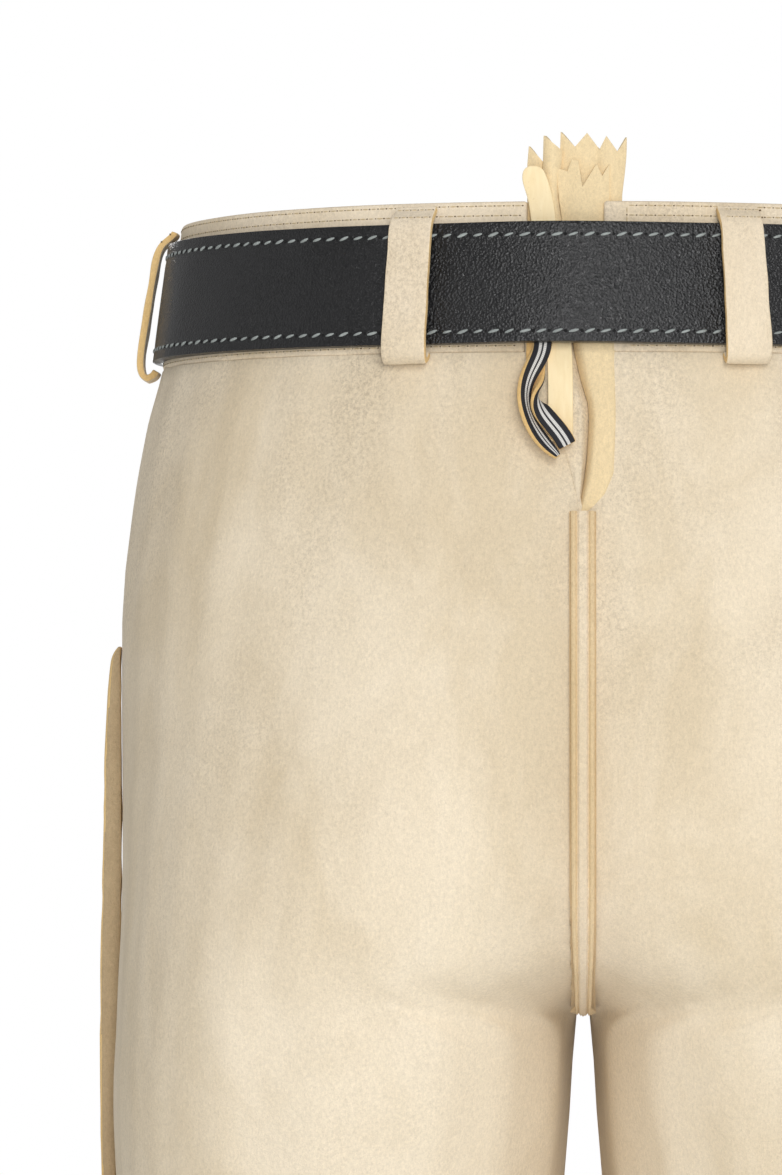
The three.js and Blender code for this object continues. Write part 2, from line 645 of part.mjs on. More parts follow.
function sideWeltGeometry(hand) {
  const half = SIDE_WELT_WIDTH / 2;
  const section = [
    { along: -half, share: 0 },
    { along: -half, share: 0.7 },
    { along: -half * 0.6, share: 1 },
    { along: half * 0.6, share: 1 },
    { along: half, share: 0.7 },
    { along: half, share: 0 },
  ];
  const between = [-200, -236, -280, -360, -400, -440].filter((z) => z > HEM);
  const heights = [...SIDE_WELT.map((row) => row.z), ...between].sort((a, b) => b - a);
  const rings = heights.map((z) => {
    const normal = ringNormal(hand, 0, z);
    const foot = ringPoint(hand, 0, z).addScaledVector(normal, SEAM_GAP);
    const proud = columnAt(SIDE_WELT, 'out', z) - SEAM_GAP;
    return section.map(({ along, share }) => foot.clone()
      .add(new THREE.Vector3(0, along, 0))
      .addScaledVector(normal, proud * share));
  });
  return ringsGeometry(rings);
}

// ---------------------------------------------------------------- front
function flapGeometry() {
  const columns = 18;
  const top = FLAP[0].z;
  const bottom = FLAP.at(-1).z;
  const between = panelRows(FRONT).filter((z) => z < top - 3 && z > bottom + 3);
  const heights = [top, ...between, bottom];
  const grid = (out) => heights.map((z) => Array.from({ length: columns + 1 }, (_, i) => {
    const half = columnAt(FLAP, 'half', z);
    return skinAtX(THREE.MathUtils.lerp(-half, half, i / columns), z, FRONT, out);
  }));
  return wallGeometry(grid(FLAP_LIFT + PANEL_WALL), grid(FLAP_LIFT));
}

function buttonMesh(name, x) {
  const { radius, thick } = BUTTON;
  const profile = [
    new THREE.Vector2(0, 0),
    new THREE.Vector2(radius - 1, 0),
    new THREE.Vector2(radius, thick * 0.35),
    new THREE.Vector2(radius, thick * 0.65),
    new THREE.Vector2(radius - 1.2, thick),
    new THREE.Vector2(radius - 3, thick - 0.6),
    new THREE.Vector2(0, thick - 0.9),
  ];
  const button = new THREE.Mesh(new THREE.LatheGeometry(profile, 20), horn);
  const lift = FLAP_LIFT + PANEL_WALL + 2 * SEAM_GAP;
  button.name = name;
  button.position.copy(skinAtX(x, BUTTON.z, FRONT, lift));
  button.quaternion.setFromUnitVectors(new THREE.Vector3(0, 1, 0), normalAtX(x, BUTTON.z, FRONT));
  return button;
}

// ---------------------------------------------------------------- materials
const suede = new THREE.MeshStandardMaterial({ color: 0xe3cfa8, roughness: 0.95, metalness: 0 });
const cutLeather = new THREE.MeshStandardMaterial({ color: 0xeed59b, roughness: 0.85, metalness: 0 });
const smoothLeather = new THREE.MeshStandardMaterial({ color: 0xf4deaa, roughness: 0.6, metalness: 0 });
const beltLeather = new THREE.MeshStandardMaterial({ color: 0x2d2d2f, roughness: 0.45, metalness: 0 });
const ribbon = new THREE.MeshStandardMaterial({ color: 0x2a2a2c, roughness: 0.8, metalness: 0 });
const steel = new THREE.MeshStandardMaterial({ color: 0xb4b4b2, roughness: 0.3, metalness: 1 });
const horn = new THREE.MeshStandardMaterial({ color: 0x8a6a48, roughness: 0.4, metalness: 0 });

// ---------------------------------------------------------------- assembly
const lederhosen = new THREE.Group();

function addPiece(name, geometry, material) {
  const mesh = new THREE.Mesh(geometry, material);
  mesh.name = name;
  lederhosen.add(mesh);
}

const BAND_END_LEFT = 18.7;
const BAND_END_RIGHT = 7.2;

addPiece('back_left', panelGeometry(LEFT, BACK), suede);
addPiece('back_right', panelGeometry(RIGHT, BACK), suede);
addPiece('front_left', panelGeometry(LEFT, FRONT), suede);
addPiece('front_right', panelGeometry(RIGHT, FRONT), suede);
addPiece('waistband_left', waistbandGeometry(LEFT, BAND_END_LEFT), suede);
addPiece('waistband_right', waistbandGeometry(RIGHT, BAND_END_RIGHT), suede);

addPiece('gusset', gussetGeometry(), suede);
addPiece('notch_strip', notchStripGeometry(), suede);
addPiece('strap', strapGeometry(), smoothLeather);
addPiece('lace_end_a', laceGeometry(LACE_A), ribbon);
addPiece('lace_end_b', laceGeometry(LACE_B), ribbon);

addPiece('welt_back', centreWeltGeometry(BACK, WELT_TOP), cutLeather);
addPiece('welt_front', centreWeltGeometry(FRONT, FRONT_WELT_TOP), cutLeather);
addPiece('welt_side_left', sideWeltGeometry(LEFT), cutLeather);
addPiece('welt_side_right', sideWeltGeometry(RIGHT), cutLeather);

addPiece('flap', flapGeometry(), suede);
lederhosen.add(buttonMesh('button_left', BUTTON.x));
lederhosen.add(buttonMesh('button_right', -BUTTON.x));

for (const [name, angle] of Object.entries(loopAngles())) {
  addPiece(name, bandGeometry(LOOP, LOOP_WIDTH, LOOP_THICK, angle), suede);
}

addPiece('belt', beltGeometry(), beltLeather);
addPiece('belt_buckle', buckleGeometry(), steel);
addPiece('buckle_prong', prongGeometry(), steel);
const keeperAngle = frontAngle(KEEPER_X);
addPiece('belt_keeper', bandGeometry(KEEPER, KEEPER_WIDTH, KEEPER_THICK, keeperAngle), beltLeather);

export default lederhosen;
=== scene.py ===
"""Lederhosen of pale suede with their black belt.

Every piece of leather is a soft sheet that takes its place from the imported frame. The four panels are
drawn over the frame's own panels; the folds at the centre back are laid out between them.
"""

import math
from collections import namedtuple

import bmesh
import bpy
from mathutils import Matrix, Vector, noise
from mathutils.bvhtree import BVHTree


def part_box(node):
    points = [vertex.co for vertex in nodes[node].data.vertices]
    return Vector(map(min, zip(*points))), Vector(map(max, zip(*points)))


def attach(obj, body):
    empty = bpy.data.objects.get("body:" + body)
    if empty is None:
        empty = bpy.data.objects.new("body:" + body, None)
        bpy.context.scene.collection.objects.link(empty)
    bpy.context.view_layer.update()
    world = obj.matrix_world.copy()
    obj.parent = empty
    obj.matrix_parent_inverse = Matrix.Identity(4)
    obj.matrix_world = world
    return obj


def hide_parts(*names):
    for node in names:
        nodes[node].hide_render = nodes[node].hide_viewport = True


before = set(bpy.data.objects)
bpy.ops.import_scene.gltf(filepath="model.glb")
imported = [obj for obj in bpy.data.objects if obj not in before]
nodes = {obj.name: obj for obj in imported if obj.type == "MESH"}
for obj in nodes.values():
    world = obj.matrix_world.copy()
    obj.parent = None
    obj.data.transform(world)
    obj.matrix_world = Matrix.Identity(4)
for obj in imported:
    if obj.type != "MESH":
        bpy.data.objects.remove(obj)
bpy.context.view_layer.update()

MM = 0.001
BODY = "root"
BACK, FRONT = 1, -1
LEFT, RIGHT = 1, -1
SIDES = {"left": LEFT, "right": RIGHT}

# ---- sizes
belt_low, belt_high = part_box("belt")
band_low, band_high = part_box("waistband_left")
hem_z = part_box("back_left")[0].z
panel_top_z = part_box("back_left")[1].z
crotch_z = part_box("welt_back")[0].z
welt_top_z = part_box("welt_back")[1].z
SEAM_Y = 8 * MM

PANEL_WALL = 2.0 * MM
BAND_WALL = 3.0 * MM
BELT_WALL = 3.4 * MM
WELT_WALL = 2.6 * MM
THIN_WALL = 1.3 * MM
LACE_WIDTH = 6.4 * MM
LACE_THICK = 1.5 * MM
RIBBON_THICK = 0.5 * MM
HEM_STITCH_UP = 7 * MM
SEAM_CLOSING = 0.14 * MM  # each sewn edge is drawn out by this, so that the two meet

# ---- camera
CAMERA_AT = Vector((0, 2.5, -0.173))
LOOKS_AT = Vector((0.0662, 0, -0.1204))
camera_data = bpy.data.cameras.new("camera")
camera_data.lens = 222
camera_data.sensor_width = 36
camera_data.clip_end = 30
camera = bpy.data.objects.new("camera", camera_data)
camera.location = CAMERA_AT
camera.rotation_euler = (LOOKS_AT - CAMERA_AT).to_track_quat("-Z", "Y").to_euler()
bpy.context.scene.collection.objects.link(camera)
bpy.context.scene.camera = camera
bpy.context.scene.view_settings.view_transform = "Standard"


# ---- small sums
def smoothstep(value):
    value = min(1.0, max(0.0, value))
    return value * value * (3 - 2 * value)


def mix(a, b, share):
    return a + (b - a) * share


def along_table(table, at):
    """Value at a place along a table of (place, value) pairs; the places may rise or fall."""
    rows = sorted(table)
    if at <= rows[0][0]:
        return rows[0][1]
    for (low, a), (high, b) in zip(rows, rows[1:]):
        if at <= high:
            return mix(a, b, (at - low) / (high - low))
    return rows[-1][1]


def edge_between(meets, missed, met, steps=14):
    """The place between a missed one and a met one where a piece begins."""
    for _ in range(steps):
        middle = (missed + met) / 2
        if meets(middle):
            met = middle
        else:
            missed = middle
    return met


def paint(red, green, blue):
    """A display colour, 0 to 255, as the linear colour that a shader takes."""
    return tuple(((c / 255 + 0.055) / 1.055) ** 2.4 for c in (red, green, blue))


# ---- small tools
def deselect_all():
    if bpy.context.mode != "OBJECT":
        bpy.ops.object.mode_set(mode="OBJECT")
    bpy.ops.object.select_all(action="DESELECT")


def activate(piece):
    deselect_all()
    piece.select_set(True)
    bpy.context.view_layer.objects.active = piece


def in_edit_mode(piece, *steps):
    """Runs edit-mode steps on the whole of a piece."""
    activate(piece)
    bpy.ops.object.mode_set(mode="EDIT")
    bpy.ops.mesh.select_all(action="SELECT")
    for step in steps:
        step()
    bpy.ops.object.mode_set(mode="OBJECT")


def apply_modifier(piece, kind, **settings):
    """Adds one modifier, with its settings, and applies it."""
    activate(piece)
    modifier = piece.modifiers.new(kind.lower(), kind)
    for key, value in settings.items():
        setattr(modifier, key, value)
    bpy.ops.object.modifier_apply(modifier=modifier.name)


def smooth_shading(piece, degrees=50):
    activate(piece)
    bpy.ops.object.shade_smooth_by_angle(angle=math.radians(degrees))


def new_piece(name, vertices, faces):
    mesh = bpy.data.meshes.new(name)
    mesh.from_pydata([tuple(v) for v in vertices], [], faces)
    mesh.update()
    piece = bpy.data.objects.new(name, mesh)
    bpy.context.scene.collection.objects.link(piece)
    return piece


def grid_piece(name, rows, outward):
    """An open sheet from rows of points; its faces look the way that outward(point) says."""
    count = len(rows[0])
    vertices = [point for row in rows for point in row]
    faces = []
    for r in range(len(rows) - 1):
        for c in range(count - 1):
            a = r * count + c
            faces.append((a, a + 1, a + count + 1, a + count))
    piece = new_piece(name, vertices, faces)
    middle = piece.data.polygons[len(faces) // 2]
    if middle.normal.dot(outward(middle.center)) < 0:
        piece.data.flip_normals()
    return piece


def finish_piece(piece, materials, slot, *replaced):
    """Gives a piece its materials and its body, and hides the frame's pieces that it stands for; slot is not
    used.
    """
    piece.data.materials.clear()
    for material in materials:
        piece.data.materials.append(material)
    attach(piece, BODY)
    if replaced:
        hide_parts(*replaced)
    return piece


def frame_copy(node, name):
    """A copy of one of the frame's pieces as one welded mesh."""
    piece = bpy.data.objects.new(name, nodes[node].data.copy())
    bpy.context.scene.collection.objects.link(piece)
    in_edit_mode(piece, lambda: bpy.ops.mesh.remove_doubles(threshold=0.02 * MM))
    return piece


JOINED_BEND, JOINED_SKEW = 1.2, 3.1  # radians within which two triangles become one quad


def keep_outer_face(piece, seed_at, turn_limit=68):
    """Keeps one face of a wall: all that can be reached from the seed without going round its rim."""
    shape = bmesh.new()
    shape.from_mesh(piece.data)
    shape.faces.ensure_lookup_table()
    seed = min(shape.faces, key=lambda f: (f.calc_center_median() - seed_at).length)
    reached = {seed}
    waiting = [seed]
    limit = math.radians(turn_limit)
    while waiting:
        for edge in waiting.pop().edges:
            for other in edge.link_faces:
                if other not in reached and edge.calc_face_angle(0) < limit:
                    reached.add(other)
                    waiting.append(other)
    bmesh.ops.delete(shape, geom=[f for f in shape.faces if f not in reached], context="FACES")
    bmesh.ops.join_triangles(shape, faces=shape.faces, angle_face_threshold=JOINED_BEND,
                             angle_shape_threshold=JOINED_SKEW)
    shape.to_mesh(piece.data)
    shape.free()


def subdivide(piece, levels):
    apply_modifier(piece, "SUBSURF", levels=levels, render_levels=levels,
                   boundary_smooth="PRESERVE_CORNERS")


def give_wall(piece, thickness, bevel, rim_material=0):
    """Turns an open sheet into a closed one with rounded edges."""
    apply_modifier(piece, "SOLIDIFY", thickness=thickness, offset=-1, use_rim=True,
                   material_offset_rim=rim_material)
    apply_modifier(piece, "BEVEL", width=bevel, segments=2, limit_method="ANGLE",
                   angle_limit=math.radians(60), material=rim_material or -1)
    smooth_shading(piece)


def redrawn_wall(node, name, seed_at, levels, depth_at, thickness, bevel, materials, slot):
    """One of the frame's walls drawn again from its outer face; the last material is its rim's."""
    piece = frame_copy(node, name)
    keep_outer_face(piece, seed_at)
    subdivide(piece, levels)
    press(piece, depth_at)
    give_wall(piece, thickness, bevel, rim_material=len(materials) - 1)
    return finish_piece(piece, materials, slot, node)


def press(piece, depth_at):
    """Moves each point of a sheet in along its normal by the millimetres that depth_at gives."""
    mesh = piece.data
    normals = [v.normal.copy() for v in mesh.vertices]
    for vertex, normal in zip(mesh.vertices, normals):
        vertex.co = vertex.co - normal * depth_at(vertex.co) * MM
    mesh.update()


class Outside:
    """Finds the outer surface of some pieces."""

    def __init__(self, *pieces):
        shape = bmesh.new()
        for piece in pieces:
            shape.from_mesh(piece.data)
        self.tree = BVHTree.FromBMesh(shape)
        shape.free()

    def towards(self, axis, way, far=0.4):
        """The first place, and its normal, on the way in from outside to a point on an axis."""
        hit, normal, _, _ = self.tree.ray_cast(axis + way * far, -way, far - MM)
        return (hit, normal) if hit is not None else None

    def level(self, x, z, face):
        """The first place, and its normal, straight in from the back or the front."""
        return self.towards(Vector((x, 0, z)), Vector((0, face, 0)))


# ---- shader writing
class Shader:
    """A material's or a group's nodes, written one line a node."""

    def __init__(self, tree):
        self.tree = tree

    def add(self, kind, **values):
        node = self.tree.nodes.new(kind)
        for key, value in values.items():
            setattr(node, key, value)
        return node

    def put(self, socket, value):
        """Links a socket's value, or sets it where the value is a number or a colour."""
        if isinstance(value, bpy.types.NodeSocket):
            self.tree.links.new(value, socket)
        elif isinstance(value, tuple) and socket.type == "RGBA":
            socket.default_value = (*value, 1)
        else:
            socket.default_value = value

    def fill(self, kind, inputs, **settings):
        """A node with its settings, and its sockets linked or set by label or by number."""
        node = self.add(kind, **settings)
        for label, value in inputs.items():
            self.put(node.inputs[label], value)
        return node

    def math(self, operation, a, b=0.0, plus=None, clamp=False):
        inputs = {0: a, 1: b} if plus is None else {0: a, 1: b, 2: plus}
        return self.fill("ShaderNodeMath", inputs, operation=operation, use_clamp=clamp).outputs[0]

    def ramp(self, source, *stops):
        """Colours, or greys where a stop is one number, along a value."""
        node = self.add("ShaderNodeValToRGB")
        elements = node.color_ramp.elements
        while len(elements) < len(stops):
            elements.new(0.5)
        for element, (position, colour) in zip(elements, stops):
            element.position = position
            element.color = (*colour, 1) if isinstance(colour, tuple) else (colour, colour, colour, 1)
        self.put(node.inputs["Fac"], source)
        return node.outputs["Color"]

    def blend(self, factor, a, b, how="MIX"):
        inputs = {0: factor, 6: a, 7: b}
        return self.fill("ShaderNodeMix", inputs, data_type="RGBA", blend_type=how).outputs[2]

    def stretched(self, vector, x=1.0, y=1.0, z=1.0):
        return self.fill("ShaderNodeMapping", dict(Scale=(x, y, z), Vector=vector)).outputs[0]

    def noise(self, vector, scale, detail=4.0, roughness=0.55, distortion=0.0):
        inputs = dict(Vector=vector, Scale=scale, Detail=detail, Roughness=roughness, Distortion=distortion)
        return self.fill("ShaderNodeTexNoise", inputs).outputs["Fac"]

    def cells(self, vector, scale):
        return self.fill("ShaderNodeTexVoronoi", dict(Scale=scale, Vector=vector)).outputs["Distance"]

    def parts(self, vector):
        return self.fill("ShaderNodeSeparateXYZ", {0: vector}).outputs

    def bump(self, height, strength, distance, under=None):
        inputs = dict(Strength=strength, Distance=distance, Height=height)
        if under is not None:
            inputs["Normal"] = under
        return self.fill("ShaderNodeBump", inputs).outputs["Normal"]

    def use(self, tree, vector):
        return self.fill("ShaderNodeGroup", dict(Vector=vector), node_tree=tree).outputs


def new_group(name, *outputs):
    tree = bpy.data.node_groups.new(name, "ShaderNodeTree")
    tree.interface.new_socket("Vector", in_out="INPUT", socket_type="NodeSocketVector")
    for label in outputs:
        tree.interface.new_socket(label, in_out="OUTPUT", socket_type="NodeSocketFloat")
    s = Shader(tree)
    return tree, s, s.add("NodeGroupInput").outputs, s.add("NodeGroupOutput").inputs


def nap_group():
    """Napped leather: clouds as wide as a hand, rubbed flecks in patches, and the pile itself."""
    tree, s, given, put = new_group("nap", "Clouds", "Flecks", "Pile", "Fibres")
    vector = given["Vector"]
    hanging = s.stretched(vector, z=0.55)
    broad = s.noise(hanging, 8.0, 3.0, 0.5, 0.4)
    patches = s.noise(hanging, 27.0, 5.0, 0.62, 0.5)
    s.put(put["Clouds"], s.math("ADD", s.math("MULTIPLY", broad, 0.6), s.math("MULTIPLY", patches, 0.4)))
    fine = s.noise(vector, 850.0, 4.0, 0.8)
    where = s.noise(hanging, 16.0, 4.0, 0.6, 0.3)
    s.put(put["Flecks"], s.math("MULTIPLY", s.ramp(fine, (0.44, 0.0), (0.64, 1.0)),
                                s.ramp(where, (0.40, 0.0), (0.62, 1.0))))
    s.put(put["Pile"], s.math("ADD", s.math("MULTIPLY", s.noise(vector, 900.0, 3.0, 0.75), 0.6),
                              s.math("MULTIPLY", s.noise(vector, 2100.0, 2.0, 0.75), 0.4)))
    s.put(put["Fibres"], s.noise(s.stretched(vector, x=1.6, z=0.5), 900.0, 4.0, 0.75, 0.6))
    return tree


def grain_group():
    """Pebbled leather: small uneven cells with finer wrinkles over them."""
    tree, s, given, put = new_group("grain", "Height", "Wrinkles")
    vector = given["Vector"]
    pebbles = s.cells(vector, 1150.0)
    uneven = s.noise(vector, 700.0, 4.0, 0.75, 0.6)
    s.put(put["Height"], s.math("ADD", s.math("MULTIPLY", pebbles, 0.55), s.math("MULTIPLY", uneven, 0.75)))
    wander = s.noise(s.stretched(vector, x=0.8, z=2.6), 30.0, 5.0, 0.6, 1.2)
    s.put(put["Wrinkles"], s.ramp(wander, (0.470, 0.0), (0.495, 1.0), (0.520, 0.0)))
    return tree


NAP = nap_group()
GRAIN = grain_group()


# ---- materials
def new_material(name, roughness, metallic=0.0, sheen=0.0):
    material = bpy.data.materials.new(name)
    material.use_nodes = True
    surface = material.node_tree.nodes["Principled BSDF"].inputs
    for label, value in (("Roughness", roughness), ("Metallic", metallic),
                         ("Specular IOR Level", 0.2 if sheen else 0.5), ("Sheen Weight", sheen),
                         ("Sheen Roughness", 0.5), ("Sheen Tint", (*paint(255, 246, 230), 1))):
        surface[label].default_value = value
    s = Shader(material.node_tree)
    return material, s, surface, s.add("ShaderNodeTexCoord").outputs["Object"]


SEAM_SHADE_WIDTH = 0.034  # how far out from the centre seam the painted shade reaches


# wear_and_shade sets both the amount of flecks and the strength of the painted shade beside the seam.
def napped_material(name, pale, dull, fleck, wear_and_shade=1.0, nap=1.0):
    """Suede. Its flecks are thicker near the waist, and it has brown painted shade beside the centre seam,
    growing towards the crotch.
    """
    pale, dull, fleck = (paint(*colour) for colour in (pale, dull, fleck))
    material, s, surface, place = new_material(name, 0.95, sheen=0.10)
    hide = s.use(NAP, place)
    between_them = tuple(mix(a, b, 0.6) for a, b in zip(dull, pale))
    base = s.ramp(hide["Clouds"], (0.38, dull), (0.50, between_them), (0.60, pale))
    x, _, z = s.parts(place)
    near_waist = s.math("MULTIPLY_ADD", z, 5.0, plus=1.1, clamp=True)
    amount = s.math("MULTIPLY", s.math("ADD", s.math("MULTIPLY", near_waist, 0.42), 0.14), wear_and_shade)
    flecked = s.blend(s.math("MULTIPLY", hide["Flecks"], amount), base, fleck)
    # painted shade: browner beside the centre seam and lower down, where the seat dips into shaded valleys
    from_seam = s.math("MULTIPLY", s.math("ABSOLUTE", x), 1 / SEAM_SHADE_WIDTH)
    low = s.math("MULTIPLY_ADD", z, -9.0, plus=-1.35, clamp=True)
    seam_shade = s.math("MULTIPLY", s.math("SUBTRACT", 1.0, from_seam, clamp=True), low)
    seam_shaded = s.blend(s.math("MULTIPLY", seam_shade, 0.14 * wear_and_shade), flecked, paint(176, 138, 98))
    pile = s.ramp(hide["Pile"], (0.36, 0.90), (0.64, 1.06))
    fibres = s.ramp(hide["Fibres"], (0.36, 0.95), (0.64, 1.04))
    colour = s.blend(1.0, s.blend(1.0, seam_shaded, pile, "MULTIPLY"), fibres, "MULTIPLY")
    s.put(surface["Base Color"], colour)
    coarse = s.bump(hide["Fibres"], 0.30 * nap, 0.5 * MM)
    s.put(surface["Normal"], s.bump(hide["Pile"], 0.38 * nap, 0.5 * MM, coarse))
    return material


def smooth_strap_material():
    """Smooth yellow leather with faint streaks along it and small nicks."""
    material, s, surface, place = new_material("smooth_leather", 0.62)
    streaks = s.noise(s.stretched(place, x=3.0, z=0.4), 140.0, 5.0, 0.6, 0.4)
    nicks = s.ramp(s.noise(place, 700.0, 3.0, 0.7), (0.62, 0.0), (0.74, 1.0))
    colour = s.ramp(streaks, (0.32, paint(241, 218, 170)), (0.62, paint(249, 229, 186)))
    s.put(surface["Base Color"], s.blend(s.math("MULTIPLY", nicks, 0.3), colour, paint(196, 160, 108)))
    s.put(surface["Normal"], s.bump(streaks, 0.22, 0.3 * MM))
    return material


def belt_material():
    """Black pebbled leather, glossier where it is rubbed, with fine creases across it and painted shade in
    them.
    """
    material, s, surface, place = new_material("belt_leather", 0.4)
    grain = s.use(GRAIN, place)
    tone = s.noise(place, 30.0, 4.0, 0.6)
    base = s.ramp(tone, (0.35, paint(14, 14, 16)), (0.7, paint(24, 24, 26)))
    # painted shade: the colour darkens along the creases
    crease_shade = s.math("MULTIPLY", grain["Wrinkles"], 0.5)
    s.put(surface["Base Color"], s.blend(crease_shade, base, paint(10, 10, 12)))
    s.put(surface["Roughness"], s.ramp(tone, (0.3, 0.25), (0.7, 0.36)))
    creased = s.bump(grain["Wrinkles"], -0.35, 0.35 * MM)
    s.put(surface["Normal"], s.bump(grain["Height"], 1.0, 0.42 * MM, creased))
    return material


def small_part_material(name, colour, roughness, metallic=0.0, marks=900.0, depth=0.3, vary=0.15):
    """A small part's finish: colour and surface both vary finely."""
    material, s, surface, place = new_material(name, roughness, metallic)
    tone = s.noise(place, 170.0, 5.0, 0.65, 0.3)
    low = tuple(c * (1 - vary) for c in paint(*colour))
    high = tuple(min(c * (1 + vary), 1) for c in paint(*colour))
    s.put(surface["Base Color"], s.ramp(tone, (0.35, low), (0.65, high)))
    s.put(surface["Normal"], s.bump(s.noise(place, marks, 3.0), depth, 0.25 * MM))
    return material


def ribbon_material():
    """Woven ribbon, black with two white stripes along it; U runs across the ribbon."""
    material, s, surface, place = new_material("ribbon", 0.8)
    route = s.add("ShaderNodeUVMap", uv_map="ribbon").outputs["UV"]
    black, white = paint(34, 34, 40), paint(232, 229, 224)
    stripes = s.ramp(s.parts(route)[0], (0.0, black), (0.27, black), (0.29, white), (0.43, white),
                     (0.45, black), (0.53, black), (0.55, white), (0.70, white), (0.72, black))
    weave = s.fill("ShaderNodeTexWave", dict(Scale=26.0, Distortion=0.6, Vector=route),
                   wave_type="BANDS", bands_direction="Y")
    s.put(surface["Base Color"], s.blend(0.35, stripes, weave.outputs["Color"], "MULTIPLY"))
    s.put(surface["Normal"], s.bump(weave.outputs["Fac"], 0.5, 0.2 * MM))
    return material


SUEDE = napped_material("suede", (240, 226, 202), (220, 203, 174), (152, 135, 114))
SUEDE_TRIM = napped_material("suede_trim", (240, 225, 201), (225, 207, 177), (158, 140, 117), 0.9)
SUEDE_FOLD = napped_material("suede_fold", (240, 219, 178), (230, 206, 162), (158, 132, 98), 0.3)
SUEDE_WORN = napped_material("suede_worn", (203, 180, 144), (176, 150, 116), (120, 98, 74), 1.2, 1.8)
CUT_EDGE = napped_material("cut_edge", (242, 210, 152), (222, 184, 122), (160, 118, 72), 0.5, 1.3)
WELT_EDGE = napped_material("welt_edge", (236, 213, 174), (217, 192, 150), (160, 122, 82), 0.6, 1.3)
SMOOTH = smooth_strap_material()
BELT_LEATHER = belt_material()
BELT_EDGE = small_part_material("belt_edge", (54, 44, 38), 0.5)
BELT_THREAD = small_part_material("belt_thread", (150, 156, 154), 0.65, marks=2600.0, depth=0.5)
# painted shade: near-black rods stand for the shade in the belt's needle holes
BELT_HOLE_SHADE = small_part_material("belt_hole_shade", (9, 9, 10), 0.9)
SEAM_THREAD = small_part_material("seam_thread", (196, 176, 138), 0.8, marks=2600.0, depth=0.5)
# painted shade: brown rods stand for the shade in the suede's needle holes
SEAM_HOLE_SHADE = small_part_material("seam_hole_shade", (112, 92, 66), 0.95)
RIBBON = ribbon_material()
STEEL = small_part_material("steel", (196, 194, 190), 0.28, 1.0, marks=600.0, depth=0.05, vary=0.06)
HORN = small_part_material("horn", (124, 92, 62), 0.32, marks=110.0, depth=0.15, vary=0.5)


# ---- panels
# Soft troughs in the leather, in millimetres: the middle, the lean off upright in degrees, the length,
# the half-width and the depth. A negative depth is a ridge.
Trough = namedtuple("Trough", "x z lean length width depth")
BACK_TROUGHS = [Trough(*row) for row in (
    (70, -118, 8, 120, 34, 0.9), (112, -205, -12, 150, 24, 0.9),
    (44, -150, -16, 120, 22, -0.7), (36, -236, 58, 76, 13, 0.7),
    (78, -292, 90, 230, 24, -2.6), (25, -300, -8, 100, 12, 1.0),
    (122, -330, 5, 150, 22, 0.9), (82, -400, -4, 160, 22, 1.0),
    (44, -72, 20, 60, 12, 0.8), (24, -92, 38, 46, 8, 0.7),
    (-62, -112, -10, 110, 30, 0.9), (-100, -200, 10, 160, 26, -0.9),
    (-38, -165, 12, 120, 18, 0.7), (-34, -242, -58, 80, 13, 0.7),
    (-78, -292, 90, 230, 24, -2.6), (-26, -310, 6, 100, 12, 1.0),
    (-120, -345, -6, 150, 22, 0.9), (-82, -420, 3, 150, 22, 1.0),
    (-28, -96, -34, 46, 9, 0.8),
)]
FRONT_TROUGHS = [Trough(*row) for row in (
    (30, -232, 52, 90, 13, 1.6), (62, -250, 70, 100, 13, 1.3),
    (-34, -236, -54, 90, 13, 1.6), (-58, -256, -72, 92, 13, 1.3),
    (104, -140, -8, 140, 20, 0.9), (-108, -150, 10, 140, 20, 0.9),
    (88, -360, 4, 170, 22, 1.0), (-92, -380, -4, 170, 22, 1.0),
)]
SEAM_VALLEY = dict(x=7, width=5, depth=0.9)  # on both sides of the back seam


def trough_depth(trough, x, z):
    lean = math.radians(trough.lean)
    dx, dz = x - trough.x, z - trough.z
    along = (dz * math.cos(lean) + dx * math.sin(lean)) / (trough.length / 2)
    across = (dx * math.cos(lean) - dz * math.sin(lean)) / trough.width
    if abs(along) > 1.7 or abs(across) > 2.6:
        return 0.0
    return trough.depth * math.exp(-1.8 * along * along - across * across)


def panel_depth(point):
    """How far a panel is pressed in, in millimetres. It is nothing at the seams, so they stay closed."""
    x, y, z = point / MM
    on_back = y > SEAM_Y / MM
    depth = 1.1 * noise.noise(Vector((x / 58, y / 58, z / 90)))
    depth += 0.30 * noise.noise(Vector((x / 17, y / 17, z / 24 + 5)))
    depth += sum(trough_depth(trough, x, z) for trough in (BACK_TROUGHS if on_back else FRONT_TROUGHS))
    near_seam = smoothstep((abs(x) - 4) / 12)
    if on_back and z > crotch_z / MM:
        beside = (abs(x) - SEAM_VALLEY["x"]) / SEAM_VALLEY["width"]
        valley = SEAM_VALLEY["depth"] * math.exp(-beside * beside) * smoothstep((abs(x) - 2) / 3)
        depth = depth * near_seam + valley * smoothstep((welt_top_z / MM + 6 - z) / 16)
    else:
        depth *= near_seam
    depth *= smoothstep((panel_top_z / MM - z) / 22)
    return depth * smoothstep((abs(y - SEAM_Y / MM) - 1) / 12)


# In millimetres: how far down the two axes part, over what height, and how far out they end.
LEG_AXIS_PARTS, LEG_AXIS_OVER, LEG_AXIS_OUT = 140, 130, 78


def leg_axis(hand, z):
    """The upright line, at a height, that one half of the body is drawn round."""
    share = smoothstep((-z / MM - LEG_AXIS_PARTS) / LEG_AXIS_OVER)
    return Vector((hand * LEG_AXIS_OUT * MM * share, SEAM_Y, z))


def way_round(hand, face, degrees):
    turn = math.radians(degrees)
    return Vector((hand * math.cos(turn), face * math.sin(turn), 0))


